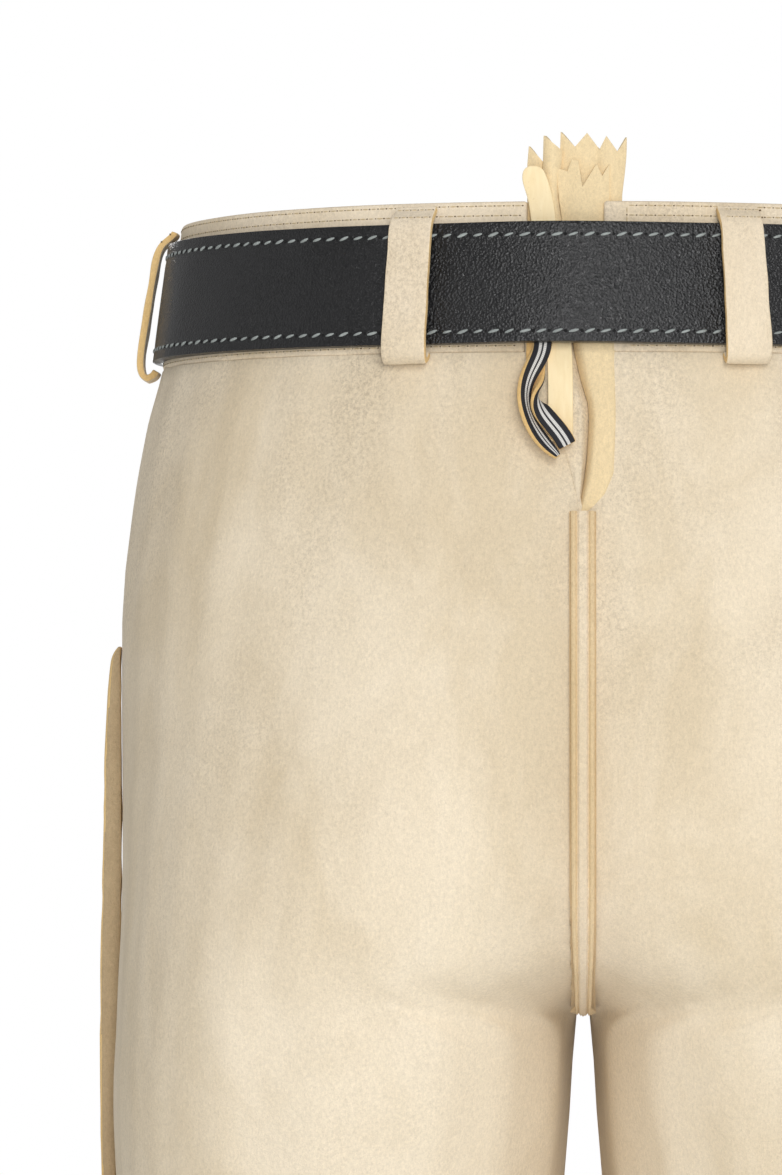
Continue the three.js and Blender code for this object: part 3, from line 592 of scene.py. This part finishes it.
def panel_row(outside, hand, face, z, columns=72, even_to=62, even_share=0.45):
    """Points along a panel at a height, from the side seam to the panel's inner edge."""
    axis = leg_axis(hand, z)

    def at(degrees):
        found = outside.towards(axis, way_round(hand, face, degrees))
        return found[0] if found else None

    met = [degrees for degrees in range(1, 181, 2) if at(degrees)]
    first = edge_between(at, met[0] - 2, met[0])
    last = edge_between(at, met[-1] + 2, met[-1])
    row = []
    for c in range(columns + 1):
        share = c / columns
        if share < even_share:
            degrees = mix(first, even_to, share / even_share)
        else:
            degrees = mix(even_to, last, (share - even_share) / (1 - even_share))
        row.append(at(degrees) or row[-1].copy())
    for end, inner in ((0, 1), (-1, -2)):
        row[end] = row[end] + (row[end] - row[inner]).normalized() * SEAM_CLOSING
    return row


NEAR_CROTCH = 26 * MM
FINE_STEP, STEP = 2.0 * MM, 3.6 * MM


def panel_heights():
    """Heights from just under the waistband to the hem, closer together near the crotch."""
    heights = [panel_top_z - 0.05 * MM]
    while heights[-1] > hem_z + 3 * MM:
        near_crotch = abs(heights[-1] - crotch_z) < NEAR_CROTCH
        heights.append(heights[-1] - (FINE_STEP if near_crotch else STEP))
    heights[-1] = hem_z + 0.05 * MM
    return heights


def even_out_crotch(rows, passes=14, reach=34 * MM):
    """Evens out the inside of a panel up and down, where the seat turns under into the leg."""
    columns = len(rows[0])
    for _ in range(passes):
        before = [[point.copy() for point in row] for row in rows]
        for r in range(1, len(rows) - 1):
            near = smoothstep(1.4 - abs(rows[r][columns // 2].z - crotch_z) / reach)
            if near == 0:
                continue
            for c in range(1, columns - 1):
                weight = 0.5 * near * smoothstep((columns - 1 - c) / 4)
                middle = (before[r - 1][c] + before[r + 1][c]) / 2
                rows[r][c] = before[r][c].lerp(middle, weight)


def make_panel(side, face_name):
    hand, face = SIDES[side], BACK if face_name == "back" else FRONT
    node = f"{face_name}_{side}"
    outside = Outside(nodes[node])
    rows = [panel_row(outside, hand, face, z) for z in panel_heights()]
    even_out_crotch(rows)
    rows[0] = [point + Vector((0, 0, 3 * SEAM_CLOSING)) for point in rows[0]]
    piece = grid_piece(node + "_suede", rows, lambda at: at - leg_axis(hand, at.z))
    press(piece, panel_depth)
    give_wall(piece, PANEL_WALL, 0.5 * MM, rim_material=1)
    finish_piece(piece, [SUEDE, CUT_EDGE], "suede", node)
    return piece


# ---- stitching
def stitch_shape(length, radius, sides=6, rings=5):
    """One stitch, lying along X with Z outwards: a short plump rod with sunk ends."""
    deselect_all()
    bpy.ops.mesh.primitive_uv_sphere_add(segments=sides, ring_count=rings, radius=1,
                                         rotation=(0, math.pi / 2, 0))
    rod = bpy.context.active_object
    bpy.ops.object.transform_apply(location=False, rotation=True, scale=True)
    for vertex in rod.data.vertices:
        share = vertex.co.x
        plump = 1 + 0.25 * share * share
        vertex.co = Vector((share * length / 2, vertex.co.y * radius * plump,
                            vertex.co.z * radius * plump - radius * 0.9 * share * share))
    shape = ([v.co.copy() for v in rod.data.vertices], [tuple(f.vertices) for f in rod.data.polygons])
    bpy.data.objects.remove(rod)
    return shape


def stitch_row(name, stations, shape, material, slot, lean=0.0, lift=0.0, uneven=0.25):
    """Copies of one stitch at each station, joined; each leans a little differently."""
    points, outlines = shape
    vertices, faces = [], []
    for k, (place, outward, along) in enumerate(stations):
        across = outward.cross(along).normalized()
        tilt = math.radians(lean * (1 + uneven * math.sin(k * 2.4)) + 3 * uneven * math.sin(k * 5.1))
        way = (along * math.cos(tilt) + across * math.sin(tilt)).normalized()
        up = outward.normalized()
        turned = Matrix((way, up.cross(way), up)).transposed()
        first = len(vertices)
        size = 1 + 0.4 * uneven * math.sin(k * 3.3)
        vertices += [place + up * lift + turned @ (point * size) for point in points]
        faces += [tuple(first + i for i in outline) for outline in outlines]
    piece = new_piece(name, vertices, faces)
    smooth_shading(piece, 60)
    return finish_piece(piece, [material], slot)


def spaced(samples, pitch):
    """Stations at an equal pitch along a chain of (place, normal) samples."""
    stations = []
    travelled, next_at = 0.0, pitch / 2
    for (a, normal), (b, _) in zip(samples, samples[1:]):
        step = (b - a).length
        if step > 12 * MM:
            next_at = travelled + pitch / 2
            continue
        while step > 0 and next_at <= travelled + step:
            stations.append((a.lerp(b, (next_at - travelled) / step), normal, (b - a).normalized()))
            next_at += pitch
        travelled += step
    return stations


def ring_line(outside, z, start, end, axis=Vector((0, 0.01, 0)), steps=900):
    """Samples round the waist or a leg at a height; degrees run from the wearer's left to the back."""
    samples = []
    for i in range(steps + 1):
        turn = math.radians(mix(start, end, i / steps))
        height = z(turn) if callable(z) else z
        found = outside.towards(axis + Vector((0, 0, height)), Vector((math.cos(turn), math.sin(turn), 0)))
        if found:
            samples.append(found)
    return samples


def level_line(outside, places, face):
    """Samples on the back or the front along (x, z) places, with many between them."""
    samples = []
    for (xa, za), (xb, zb) in zip(places, places[1:]):
        for i in range(24):
            found = outside.level(mix(xa, xb, i / 24), mix(za, zb, i / 24), face)
            if found:
                samples.append(found)
    return samples


def between(stations, pitch):
    """The places halfway between stations, where the needle went in."""
    return [(place + along * pitch / 2, outward, along) for place, outward, along in stations]


def sew(name, samples, pitch, length, radius, slot="suede", thread=SEAM_THREAD, hole=SEAM_HOLE_SHADE, lean=0.0):
    """A row of stitches with their needle holes; the holes are dark rods of painted shade."""
    stations = spaced(samples, pitch)
    stitch_row(name, stations, stitch_shape(length, radius), thread, slot, lean, lift=0.1 * radius)
    holes = stitch_shape(pitch * 0.34, radius * 1.45, 6, 4)
    stitch_row(name + "_holes", between(stations, pitch), holes, hole, slot, lean=-lean, lift=-radius * 0.55)


SEAM = dict(pitch=3.1 * MM, length=2.3 * MM, radius=0.20 * MM)


# ---- belt
BELT_STITCH_IN = 4.4 * MM
BELT_CREASES = [Trough(*row) for row in (
    (17, -17, 82, 20, 1.1, 0.35), (10, -38, 70, 14, 1.0, 0.3),
    (-12, -20, 98, 26, 1.0, 0.35), (-30, -24, 78, 20, 1.1, 0.35),
    (-40, -31, 70, 15, 0.9, 0.3), (-6, -34, 104, 22, 1.0, 0.35),
    (-24, -33, 100, 16, 0.9, 0.3),
)]


def belt_depth(point):
    x, y, z = point / MM
    depth = 0.30 * noise.noise(Vector((x / 24, y / 24, z / 30)))
    if y > 0:
        depth += sum(trough_depth(crease, x, z) for crease in BELT_CREASES)
    edge = min(abs(z - belt_low.z / MM), abs(z - belt_high.z / MM))
    in_row = (edge - BELT_STITCH_IN / MM) / 0.9
    return depth + 0.28 * math.exp(-in_row * in_row)


def make_belt():
    seed_at = Vector((0.15, 0.01, (belt_low.z + belt_high.z) / 2))
    outside = Outside(redrawn_wall("belt", "belt_strap", seed_at, 4, belt_depth, BELT_WALL, 0.9 * MM,
                                   [BELT_LEATHER, BELT_EDGE], "belt_leather"))
    for label, z in (("upper", belt_high.z - BELT_STITCH_IN), ("lower", belt_low.z + BELT_STITCH_IN)):
        sew("belt_stitches_" + label, ring_line(outside, z, -80, 270), pitch=5.3 * MM, length=4.0 * MM,
            radius=0.48 * MM, slot="belt_leather", thread=BELT_THREAD, hole=BELT_HOLE_SHADE, lean=17)


def make_belt_fittings():
    rounded_copy("belt_keeper", "belt_keeper_leather", [BELT_LEATHER], "belt_leather", 0.4 * MM)
    rounded_copy("belt_buckle", "belt_buckle_frame", [STEEL], "steel", 0.3 * MM)
    rounded_copy("buckle_prong", "buckle_prong_rod", [STEEL], "steel", 0.3 * MM)


# ---- copies with rounded edges
def rounded_copy(node, name, materials, slot, bevel, levels=1, edge_where=None):
    """One of the frame's closed pieces with rounded edges; faces that edge_where picks are cut edges."""
    piece = frame_copy(node, name)
    in_edit_mode(piece, lambda: bpy.ops.mesh.tris_convert_to_quads(
        face_threshold=math.radians(40), shape_threshold=math.radians(60)))
    finish_piece(piece, materials, slot, node)
    apply_modifier(piece, "BEVEL", width=bevel, segments=2, limit_method="ANGLE",
                   angle_limit=math.radians(50), material=-1)
    if levels:
        subdivide(piece, levels)
    if edge_where:
        for face in piece.data.polygons:
            face.material_index = 1 if edge_where(face) else 0
    smooth_shading(piece)
    return piece


# ---- waistband and its loops
def make_waistband():
    pieces = {}
    for side, hand in SIDES.items():
        node = "waistband_" + side
        half = redrawn_wall(node, node + "_suede", Vector((hand * 0.14, 0.01, -0.02)), 3,
                            lambda at: 0.5 * noise.noise(at / (26 * MM)), BAND_WALL, 0.8 * MM,
                            [SUEDE_TRIM], "suede")
        pieces[side] = half
    return pieces


def sew_waistband(pieces):
    rise = 1.0 * MM
    for side, half in pieces.items():
        outside = Outside(half)
        start, end = (-86, 80) if side == "left" else (97, 266)
        for label, below in (("top", 1.5 * MM), ("second", 4.7 * MM), ("low", 47.6 * MM)):
            def height(turn, below=below):
                return band_high.z - below - rise * (1 - max(0.0, math.sin(turn)))
            sew(f"band_stitches_{label}_{side}", ring_line(outside, height, start, end), **SEAM)
        if side == "right":
            upright = [(-14.5 * MM, band_high.z - 1.5 * MM), (-14.5 * MM, belt_high.z - 3 * MM)]
            sew("band_end_stitches", level_line(outside, upright, BACK), **SEAM)


LOOP_SEWN_HALF = 6.4  # half the stitched width, in millimetres
LOOP_DEPTH = 6 * MM
LOOP_REACH = 0.03


def make_loop(place, side):
    node = f"belt_loop_{place}_{side}"
    low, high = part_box(node)
    middle = (low + high) / 2
    outward = Vector((middle.x, middle.y - SEAM_Y, 0)).normalized()
    if place == "side":
        outward = Vector((SIDES[side], 0, 0))
    elif place == "back":
        outward = Vector((middle.x * 0.45, 0.13, 0)).normalized()
    across = Vector((-outward.y, outward.x, 0))
    loop = rounded_copy(node, node + "_suede", [SUEDE_TRIM, CUT_EDGE], "suede", 0.55 * MM, 2,
                        edge_where=lambda face: abs(face.normal.dot(across)) > 0.75)
    press(loop, lambda at: 0.35 * noise.noise(at / (9 * MM)))
    outside = Outside(loop)
    for label, z in (("top", 0.9 * MM), ("second", -1.7 * MM)):
        samples = []
        for i in range(25):
            aside = across * mix(-LOOP_SEWN_HALF, LOOP_SEWN_HALF, i / 24) * MM
            inside = Vector((middle.x, middle.y, z)) - outward * LOOP_DEPTH
            found = outside.towards(inside + aside, outward, far=LOOP_REACH)
            if found:
                samples.append(found)
        sew(f"loop_stitches_{label}_{place}_{side}", samples, pitch=2.6 * MM, length=1.9 * MM,
            radius=0.2 * MM)


# ---- welts
def make_centre_welt(node, face):
    """A raised seam: a napped strip between two cut edges, with a groove on each side of the strip."""
    piece = frame_copy(node, node + "_strip")
    low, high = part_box(node)
    keep_outer_face(piece, Vector((0, high.y if face == BACK else low.y, (low.z + high.z) / 2)), 50)
    subdivide(piece, 3)
    half_at = {}
    for vertex in piece.data.vertices:
        key = round(vertex.co.z / MM / 4)
        half_at[key] = max(half_at.get(key, 0), abs(vertex.co.x))

    def share(at):
        return abs(at.x) / max(half_at.get(round(at.z / MM / 4), 3.8 * MM), MM)

    groove = 0.50
    press(piece, lambda at: 0.85 * math.exp(-((share(at) - groove) / 0.12) ** 2)
          + 0.25 * noise.noise(at / (7 * MM)) + 0.5 * smoothstep((share(at) - 0.8) / 0.2))
    for polygon in piece.data.polygons:
        polygon.material_index = 0 if share(polygon.center) < groove else 1
    give_wall(piece, WELT_WALL, 0.45 * MM, rim_material=1)
    indices = [polygon.material_index for polygon in piece.data.polygons]
    finish_piece(piece, [SUEDE_TRIM, WELT_EDGE], "cut_leather", node)
    piece.data.polygons.foreach_set("material_index", [min(index, 1) for index in indices])


def make_side_welt(side):
    """The side seam's flange: napped flanks, and two layers' cut edges along its outer side."""
    node = "welt_side_" + side
    piece = rounded_copy(node, node + "_flange", [SUEDE_WORN, CUT_EDGE], "cut_leather", 0.4 * MM, 2,
                         edge_where=lambda face: abs(face.normal.x) > 0.6)
    low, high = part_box(node)
    middle_y = (low.y + high.y) / 2

    def depth(at):
        outer = smoothstep((abs(at.x) - (abs(high.x if side == "left" else low.x) - 3 * MM)) / (1.5 * MM))
        line = (at.y - middle_y) / (0.6 * MM)
        return outer * 0.7 * math.exp(-line * line) + 0.3 * noise.noise(at / (8 * MM))

    press(piece, depth)


# ---- front flap and buttons
def make_flap():
    low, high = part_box("flap")
    flap = redrawn_wall("flap", "flap_suede", Vector((0, low.y, (low.z + high.z) / 2)), 3,
                        lambda at: 0.7 * noise.noise(at / (40 * MM)) + 0.25 * noise.noise(at / (14 * MM)),
                        PANEL_WALL, 0.5 * MM, [SUEDE, CUT_EDGE], "suede")
    outside = Outside(flap)
    for label, inset in (("outer", 3.5 * MM), ("inner", 7.0 * MM)):
        heights = [mix(high.z - inset, low.z + inset, i / 24) for i in range(25)]

        def edge(hand, z):
            meets = lambda x: outside.level(x, z, FRONT) is not None
            return edge_between(meets, hand * 90 * MM, hand * 50 * MM) - hand * inset

        left = [(edge(LEFT, z), z) for z in heights]
        right = [(edge(RIGHT, z), z) for z in reversed(heights)]
        sew("flap_stitches_" + label, level_line(outside, left + right, FRONT), **SEAM)


HOLE_OUT = 2.0 * MM


def make_button(side):
    """A turned horn button: a dished disc with a rolled rim and four holes, sewn with thread."""
    node = "button_" + side
    low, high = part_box(node)
    middle = (low + high) / 2
    radius = (high.z - low.z) / 2
    thick = 3.2 * MM
    deselect_all()
    bpy.ops.mesh.primitive_cylinder_add(vertices=48, radius=radius, depth=thick, end_fill_type="TRIFAN")
    button = bpy.context.active_object
    button.name = node + "_horn"
    in_edit_mode(button, lambda: bpy.ops.mesh.subdivide(number_cuts=7))
    for vertex in button.data.vertices:
        share = math.hypot(vertex.co.x, vertex.co.y) / radius
        if vertex.co.z > thick * 0.49:
            rim = math.exp(-((share - 0.84) / 0.12) ** 2)
            dish = 0.5 * (1 - smoothstep(share / 0.75))
            vertex.co.z += (0.35 * rim - dish - 1.1 * smoothstep((share - 0.9) / 0.1)) * MM
            hole = min((vertex.co.xy - Vector((hx, hy)) * HOLE_OUT).length
                       for hx, hy in ((1, 1), (1, -1), (-1, 1), (-1, -1)))
            vertex.co.z -= 0.9 * MM * smoothstep(1.5 - hole / (0.8 * MM))
    found = Outside(nodes[node]).level(middle.x, middle.z, FRONT)
    outward = found[1] if found else Vector((0, -1, 0))
    turned = outward.to_track_quat("Z", "Y").to_matrix()
    for vertex in button.data.vertices:
        vertex.co = middle + turned @ vertex.co
    smooth_shading(button)
    finish_piece(button, [HORN], "horn", node)
    threads = [(middle + outward * 1.15 * MM + turned @ Vector((hand * HOLE_OUT, 0, 0)), outward,
                turned @ Vector((0, 1, 0))) for hand in (LEFT, RIGHT)]
    stitch_row(node + "_thread", threads, stitch_shape(4.2 * MM, 0.45 * MM), SEAM_THREAD, "suede", uneven=0.1)


# ---- folds at the centre back
# X, in millimetres, of the dark fold between the two rolls under the belt, at each height.
FOLD_LINE = [(-40, 3.6), (-46, 2.8), (-52, 1.5), (-57, 0.2), (-63, -1.6), (-68, -2.0), (-75, -1.7),
             (-82, -1.2), (-89, -0.3), (-95, 0.7), (-98.7, 1.1)]
ROLL_TOP = -40
ROLL_BOTTOM = -98.6
ROLL_LAP = 1  # how far each roll runs on past the edge of the panel beside it
BASE_TOP, BASE_LEVELS, BASE_COLUMNS = 15.0, 40, 32

# The gathered gusset's folds above the belt, from left to right: the edges as (z, x), the pinked top
# as (x, z), how far the middle lies behind the body's surface, and how much the fold bulges.
LEAVES = [
    dict(name="gusset_fold_1", left=[(-30, 18.6), (6, 18.2), (22, 18.2)], right=[(-30, 11.5), (22, 11.5)],
         top=[(11.5, 15.2), (17.7, 22.0), (18.2, 16.0)], behind=4.6, bulge=0.9),
    dict(name="gusset_fold_3", left=[(-30, 8.0), (26, 7.4)], right=[(-30, -6.5), (26, -6.5)],
         top=[(-6.5, 19.6), (-5.4, 21.0), (-1.5, 26.2), (2.5, 21.6), (7.2, 26.6), (7.4, 20.0)],
         behind=4.8, bulge=1.0),
    dict(name="gusset_fold_4", left=[(-30, -4.6), (26, -4.6)],
         right=[(-30, -13.0), (6, -13.0), (16, -13.6), (26, -14.6)],
         top=[(-14.6, 24.8), (-11.5, 20.0), (-7.8, 25.2), (-5.4, 20.6), (-4.6, 21.6)], behind=4.2, bulge=1.1),
    dict(name="gusset_fold_2", left=[(-30, 12.6), (-4, 11.4), (10, 13.0), (26, 13.0)],
         right=[(-30, 5.6), (-4, 6.6), (13, 9.4), (26, 6.6)],
         top=[(6.6, 20.2), (12.8, 25.2), (13.0, 17.5)], behind=2.9, bulge=1.7),
    dict(name="gusset_fold_5", left=[(-30, 6.0), (-4, 6.6), (12, 8.2), (18, 7.4)],
         right=[(-30, -8.6), (18, -8.8)],
         top=[(-8.8, 15.8), (-6.4, 11.8), (-4.6, 15.8), (0.1, 8.2),
              (1.4, 16.8), (3.6, 17.4), (5.0, 13.4), (8.2, 14.4)],
         behind=2.4, bulge=1.3),
]


def back_skin(outside, x, z):
    """The body's surface at the centre back, as if the notch were closed; x and z in millimetres."""
    reach, bow = 23.0, 1.2
    height = min(max(z, -110.0), 2.0)
    if -48.0 < height < -45.8:
        height = -48.0
    sides = [outside.level(hand * reach * MM, height * MM, BACK)[0].y for hand in SIDES.values()]
    y = sum(sides) / 2 + bow * (1 - (x / reach) ** 2) * MM
    return Vector((x * MM, y, z * MM))


LEAF_BOTTOM = -30.0


def leaf_rows(outside, leaf, levels=26, columns=30):
    tops = sorted(leaf["top"])
    evenly = {mix(tops[0][0], tops[-1][0], i / columns) for i in range(columns + 1)}
    places = sorted({x for x, _ in tops} | evenly)
    rows = []
    for r in range(levels + 1):
        row = []
        for x_top in places:
            share = (x_top - tops[0][0]) / (tops[-1][0] - tops[0][0])
            z = mix(LEAF_BOTTOM, along_table(tops, x_top), r / levels)
            x = mix(along_table(leaf["right"], z), along_table(leaf["left"], z), share)
            x = mix(x, x_top, smoothstep((r / levels - 0.6) / 0.4))
            swell = leaf["bulge"] * (1 - (2 * share - 1) ** 2)
            ripple = 0.5 * noise.noise(Vector((x / 5, z / 11, leaf["behind"])))
            out = swell - leaf["behind"] + ripple - 0.9 * smoothstep((2 - z) / 8)
            row.append(back_skin(outside, x, z) + Vector((0, out * MM, 0)))
        rows.append(row)
    return rows


def roll_rows(outside, left_at, right_at, out_at, levels=64, columns=28):
    rows = []
    for r in range(levels + 1):
        z = mix(ROLL_BOTTOM, ROLL_TOP, r / levels)
        row = []
        for c in range(columns + 1):
            share = c / columns
            x = mix(left_at(z), right_at(z), share)
            row.append(back_skin(outside, x, z) + Vector((0, out_at(share, z) * MM, 0)))
        rows.append(row)
    return rows


def make_centre_back():
    """The gathered gusset above and behind the belt, and the two rolls that meet in a fold below it."""
    outside = Outside(*(nodes[f"{part}_{side}"] for part in ("back", "waistband") for side in SIDES))
    backwards = lambda at: Vector((0, BACK, 0))

    def panel_edge(node, hand):
        panel = Outside(nodes[node])
        def edge(z):
            height = min(z, panel_top_z / MM - 0.3)
            fold = along_table(FOLD_LINE, height)
            meets = lambda x: panel.level(x * MM, height * MM, BACK) is not None
            return edge_between(meets, fold, hand * 22.0)
        return edge

    left_edge, right_edge = panel_edge("back_left", LEFT), panel_edge("back_right", RIGHT)
    fold = lambda z: along_table(FOLD_LINE, z)
    closing = lambda z: smoothstep((z - ROLL_BOTTOM) / 12)

    def rolled(share, z, swell, ripple, tucked, dive):
        """How far out a roll stands, with its ripple, its tucked edge and its dive into the fold."""
        shut = closing(z)
        return (swell + 0.35 * ripple * math.sin(math.pi * share)) * shut - tucked - dive * mix(0.35, 1, shut)

    def left_out(share, z):
        dive = max(0.0, (share - 0.72) / 0.28)
        return rolled(share, z, 0.75 * math.sin(math.pi * min(1.0, share * 1.1)),
                      noise.noise(Vector((share * 3, z / 9, 2.0))),
                      0.5 * (1 - smoothstep(share / 0.12)), 3.6 * dive * dive)

    def right_out(share, z):
        dive = max(0.0, 1 - share / 0.26)
        return rolled(share, z, 1.35 * math.sin(math.pi * min(1.0, 0.12 + share * 0.9)) ** 0.8,
                      noise.noise(Vector((share * 3, z / 10, 7.0))),
                      0.7 * smoothstep((share - 0.88) / 0.12), 3.9 * dive * dive)

    left_rows = roll_rows(outside, lambda z: left_edge(z) + ROLL_LAP, fold, left_out)
    left_roll = grid_piece("gusset_roll", left_rows, backwards)
    give_wall(left_roll, THIN_WALL, 0.3 * MM)
    finish_piece(left_roll, [SUEDE], "suede")

    right_rows = roll_rows(outside, fold, lambda z: right_edge(z) - ROLL_LAP, right_out)
    strip = grid_piece("notch_strip_roll", right_rows, backwards)
    give_wall(strip, THIN_WALL, 0.35 * MM)
    finish_piece(strip, [SUEDE_FOLD], "suede", "notch_strip")

    for leaf in LEAVES:
        fold_piece = grid_piece(leaf["name"], leaf_rows(outside, leaf), backwards)
        give_wall(fold_piece, THIN_WALL, 0.25 * MM, rim_material=1)
        finish_piece(fold_piece, [SUEDE_FOLD, CUT_EDGE], "suede")

    def base_out(share, z):
        return -6.4 + 1.2 * math.sin(4 * math.pi * share) * smoothstep((z + 98) / 40) + 3.0 * (1 - closing(z))

    base_rows = []
    for r in range(BASE_LEVELS + 1):
        z = mix(ROLL_BOTTOM, BASE_TOP, r / BASE_LEVELS)
        left = min(left_edge(z) + 2.5, 17.5)
        right = max(right_edge(z) - 2.5, -12.5)
        shares = [c / BASE_COLUMNS for c in range(BASE_COLUMNS + 1)]
        base_rows.append([back_skin(outside, mix(left, right, share), z)
                          + Vector((0, base_out(share, z) * MM, 0)) for share in shares])
    base = grid_piece("gusset_inside", base_rows, backwards)
    give_wall(base, THIN_WALL, 0.3 * MM)
    finish_piece(base, [SUEDE_FOLD], "suede", "gusset")


# ---- laces
# Middle lines of the two lace ends, in millimetres: the place, how far the lace has twisted from
# lying flat in degrees, and the share of its full width. They keep to the frame's routes.
LACE_A = [
    (12.8, 134.5, -34.0, 0, 1), (12.8, 134.9, -38.0, 0, 1), (12.9, 135.3, -42.0, 2, 1),
    (13.3, 136.1, -45.5, 8, 1), (14.6, 138.5, -48.5, 24, 1), (16.3, 140.6, -51.4, 36, 1),
    (17.9, 141.8, -54.5, 46, 1), (19.0, 142.5, -57.8, 54, 1), (19.4, 142.9, -61.2, 60, 1),
    (19.1, 143.2, -64.6, 64, 1), (18.1, 143.5, -67.9, 64, 1), (16.6, 143.9, -71.0, 60, 1),
    (14.7, 144.5, -73.9, 52, 0.95), (12.6, 145.2, -76.6, 44, 0.8), (10.3, 146.0, -79.0, 36, 0.6),
    (8.0, 146.8, -81.2, 30, 0.3),
]
LACE_B = [
    (15.3, 133.2, -40.0, 0, 1), (15.3, 133.5, -43.0, 0, 1), (15.3, 134.0, -46.0, 0, 1),
    (15.3, 134.7, -49.0, 0, 1), (15.3, 135.8, -52.0, -8, 1), (15.4, 137.4, -55.0, -25, 1),
    (15.6, 139.1, -57.8, -50, 1), (15.7, 140.4, -60.4, -80, 1), (15.3, 141.6, -62.8, -110, 1),
    (14.3, 142.6, -64.9, -138, 1), (12.9, 143.3, -66.8, -160, 1), (11.2, 143.8, -68.7, -174, 1),
    (9.4, 144.2, -70.7, -180, 1), (7.6, 144.6, -72.9, -180, 1), (6.0, 144.9, -75.3, -180, 1),
    (4.9, 145.1, -77.4, -180, 1),
]


def lace_layer(name, route, width, low, high):
    """A flat layer of a lace between two heights over its middle surface; U runs across, V along."""
    columns = (-0.5, -0.42, -0.25, 0, 0.25, 0.42, 0.5)
    section = [(share, low) for share in columns] + [(share, high) for share in reversed(columns)]
    points = [Vector(row[:3]) * MM for row in route]
    vertices, places = [], []
    for k, (_, _, _, turn, wide) in enumerate(route):
        along = (points[min(k + 1, len(points) - 1)] - points[max(k - 1, 0)]).normalized()
        side = along.cross(Vector((0, 1, 0))).normalized()
        turn = math.radians(turn)
        across = side * math.cos(turn) + side.cross(along).normalized() * math.sin(turn)
        up = across.cross(along).normalized()
        for share, height in section:
            vertices.append(points[k] + across * share * width * wide + up * height)
            places.append((share + 0.5, k / (len(route) - 1)))
    ring, last = len(section), len(vertices) - len(section)
    faces = [(k + i, k + (i + 1) % ring, k + ring + (i + 1) % ring, k + ring + i)
             for k in range(0, last, ring) for i in range(ring)]
    faces += [(end + i, end + i + 1, end + ring - 2 - i, end + ring - 1 - i)
              for end in (0, last) for i in range(len(columns) - 1)]
    piece = new_piece(name, vertices, faces)
    layer = piece.data.uv_layers.new(name="ribbon")
    for loop in piece.data.loops:
        layer.data[loop.index].uv = places[loop.vertex_index]
    in_edit_mode(piece, lambda: bpy.ops.mesh.normals_make_consistent(inside=False))
    subdivide(piece, 2)
    smooth_shading(piece, 40)
    return piece


def make_lace(name, node, route, ribbon_side):
    """The leather lace is the cord; the ribbon sewn on one side of it goes with it."""
    half = LACE_THICK / 2
    leather = lace_layer(name + "_leather", route, LACE_WIDTH, -half, half)
    finish_piece(leather, [CUT_EDGE], "ribbon", node)
    near, far = sorted((ribbon_side * (half - 0.2 * MM), ribbon_side * (half + RIBBON_THICK)))
    ribbon = lace_layer(name + "_ribbon", route, LACE_WIDTH * 0.94, near, far)
    finish_piece(ribbon, [RIBBON], "ribbon")


# ---- hems
HEM_AXIS_OUT = 0.089


def sew_hems(panels):
    for side, hand in SIDES.items():
        outside = Outside(*(panel for name, panel in panels.items() if name.endswith(side)))
        axis = Vector((hand * HEM_AXIS_OUT, SEAM_Y, 0))
        samples = ring_line(outside, hem_z + HEM_STITCH_UP, 0, 360, axis, 500)
        sew("hem_stitches_" + side, samples, **SEAM)


# ---- making the object
make_lace("lace_a", "lace_end_a", LACE_A, ribbon_side=1)
make_lace("lace_b", "lace_end_b", LACE_B, ribbon_side=-1)
panels = {f"{face}_{side}": make_panel(side, face) for face in ("back", "front") for side in SIDES}
make_belt()
make_belt_fittings()
sew_waistband(make_waistband())
for place in ("back", "side", "front"):
    for side in SIDES:
        make_loop(place, side)
make_centre_welt("welt_back", BACK)
make_centre_welt("welt_front", FRONT)
for side in SIDES:
    make_side_welt(side)
    make_button(side)
make_flap()
make_centre_back()
rounded_copy("strap", "strap_smooth", [SMOOTH], "smooth_leather", 0.35 * MM, 2)
sew_hems(panels)


# ---- studio
SKY_STRENGTH = 0.34
FLOOR_Z = -1.05


def make_world():
    world = bpy.data.worlds.new("studio")
    bpy.context.scene.world = world
    world.use_nodes = True
    s = Shader(world.node_tree)
    lighting = world.node_tree.nodes["Background"]
    lighting.inputs["Color"].default_value = (1, 1, 1, 1)
    lighting.inputs["Strength"].default_value = SKY_STRENGTH
    seen = s.add("ShaderNodeBackground")
    seen.inputs["Color"].default_value = (1, 1, 1, 1)
    chooser = s.add("ShaderNodeMixShader")
    s.put(chooser.inputs[0], s.add("ShaderNodeLightPath").outputs["Is Camera Ray"])
    s.put(chooser.inputs[1], lighting.outputs[0])
    s.put(chooser.inputs[2], seen.outputs[0])
    s.put(world.node_tree.nodes["World Output"].inputs["Surface"], chooser.outputs[0])


def make_lights():
    aimed_at = Vector((0, 0, -0.2))
    lamps = [("side_left", (2.6, 0.3, 0.5), 1.4, 5), ("side_right", (-2.6, 0.3, 0.5), 1.4, 5)]
    for label, way in (("back", BACK), ("front", FRONT)):
        lamps += [("key_" + label, (-0.45 * way, 2.6 * way, 0.75), 1.0, 28),
                  ("near_" + label, (-0.12 * way, 2.7 * way, 0.02), 0.36, 13),
                  ("low_" + label, (0.1 * way, 2.4 * way, -0.95), 1.0, 9)]
    for name, at, size, power in lamps:
        light = bpy.data.lights.new(name, "AREA")
        light.size = size
        light.energy = power
        lamp = bpy.data.objects.new(name, light)
        lamp.location = at
        lamp.rotation_euler = (aimed_at - Vector(at)).to_track_quat("-Z", "Y").to_euler()
        lamp.visible_camera = False
        bpy.context.scene.collection.objects.link(lamp)


def make_floor():
    deselect_all()
    bpy.ops.mesh.primitive_plane_add(size=7, location=(0, 0, FLOOR_Z))
    floor = bpy.context.active_object
    floor.name = "floor"
    material, s, surface, place = new_material("floor", 0.9)
    s.put(surface["Base Color"], paint(238, 238, 236))
    floor.data.materials.append(material)


make_floor()
make_world()
make_lights()
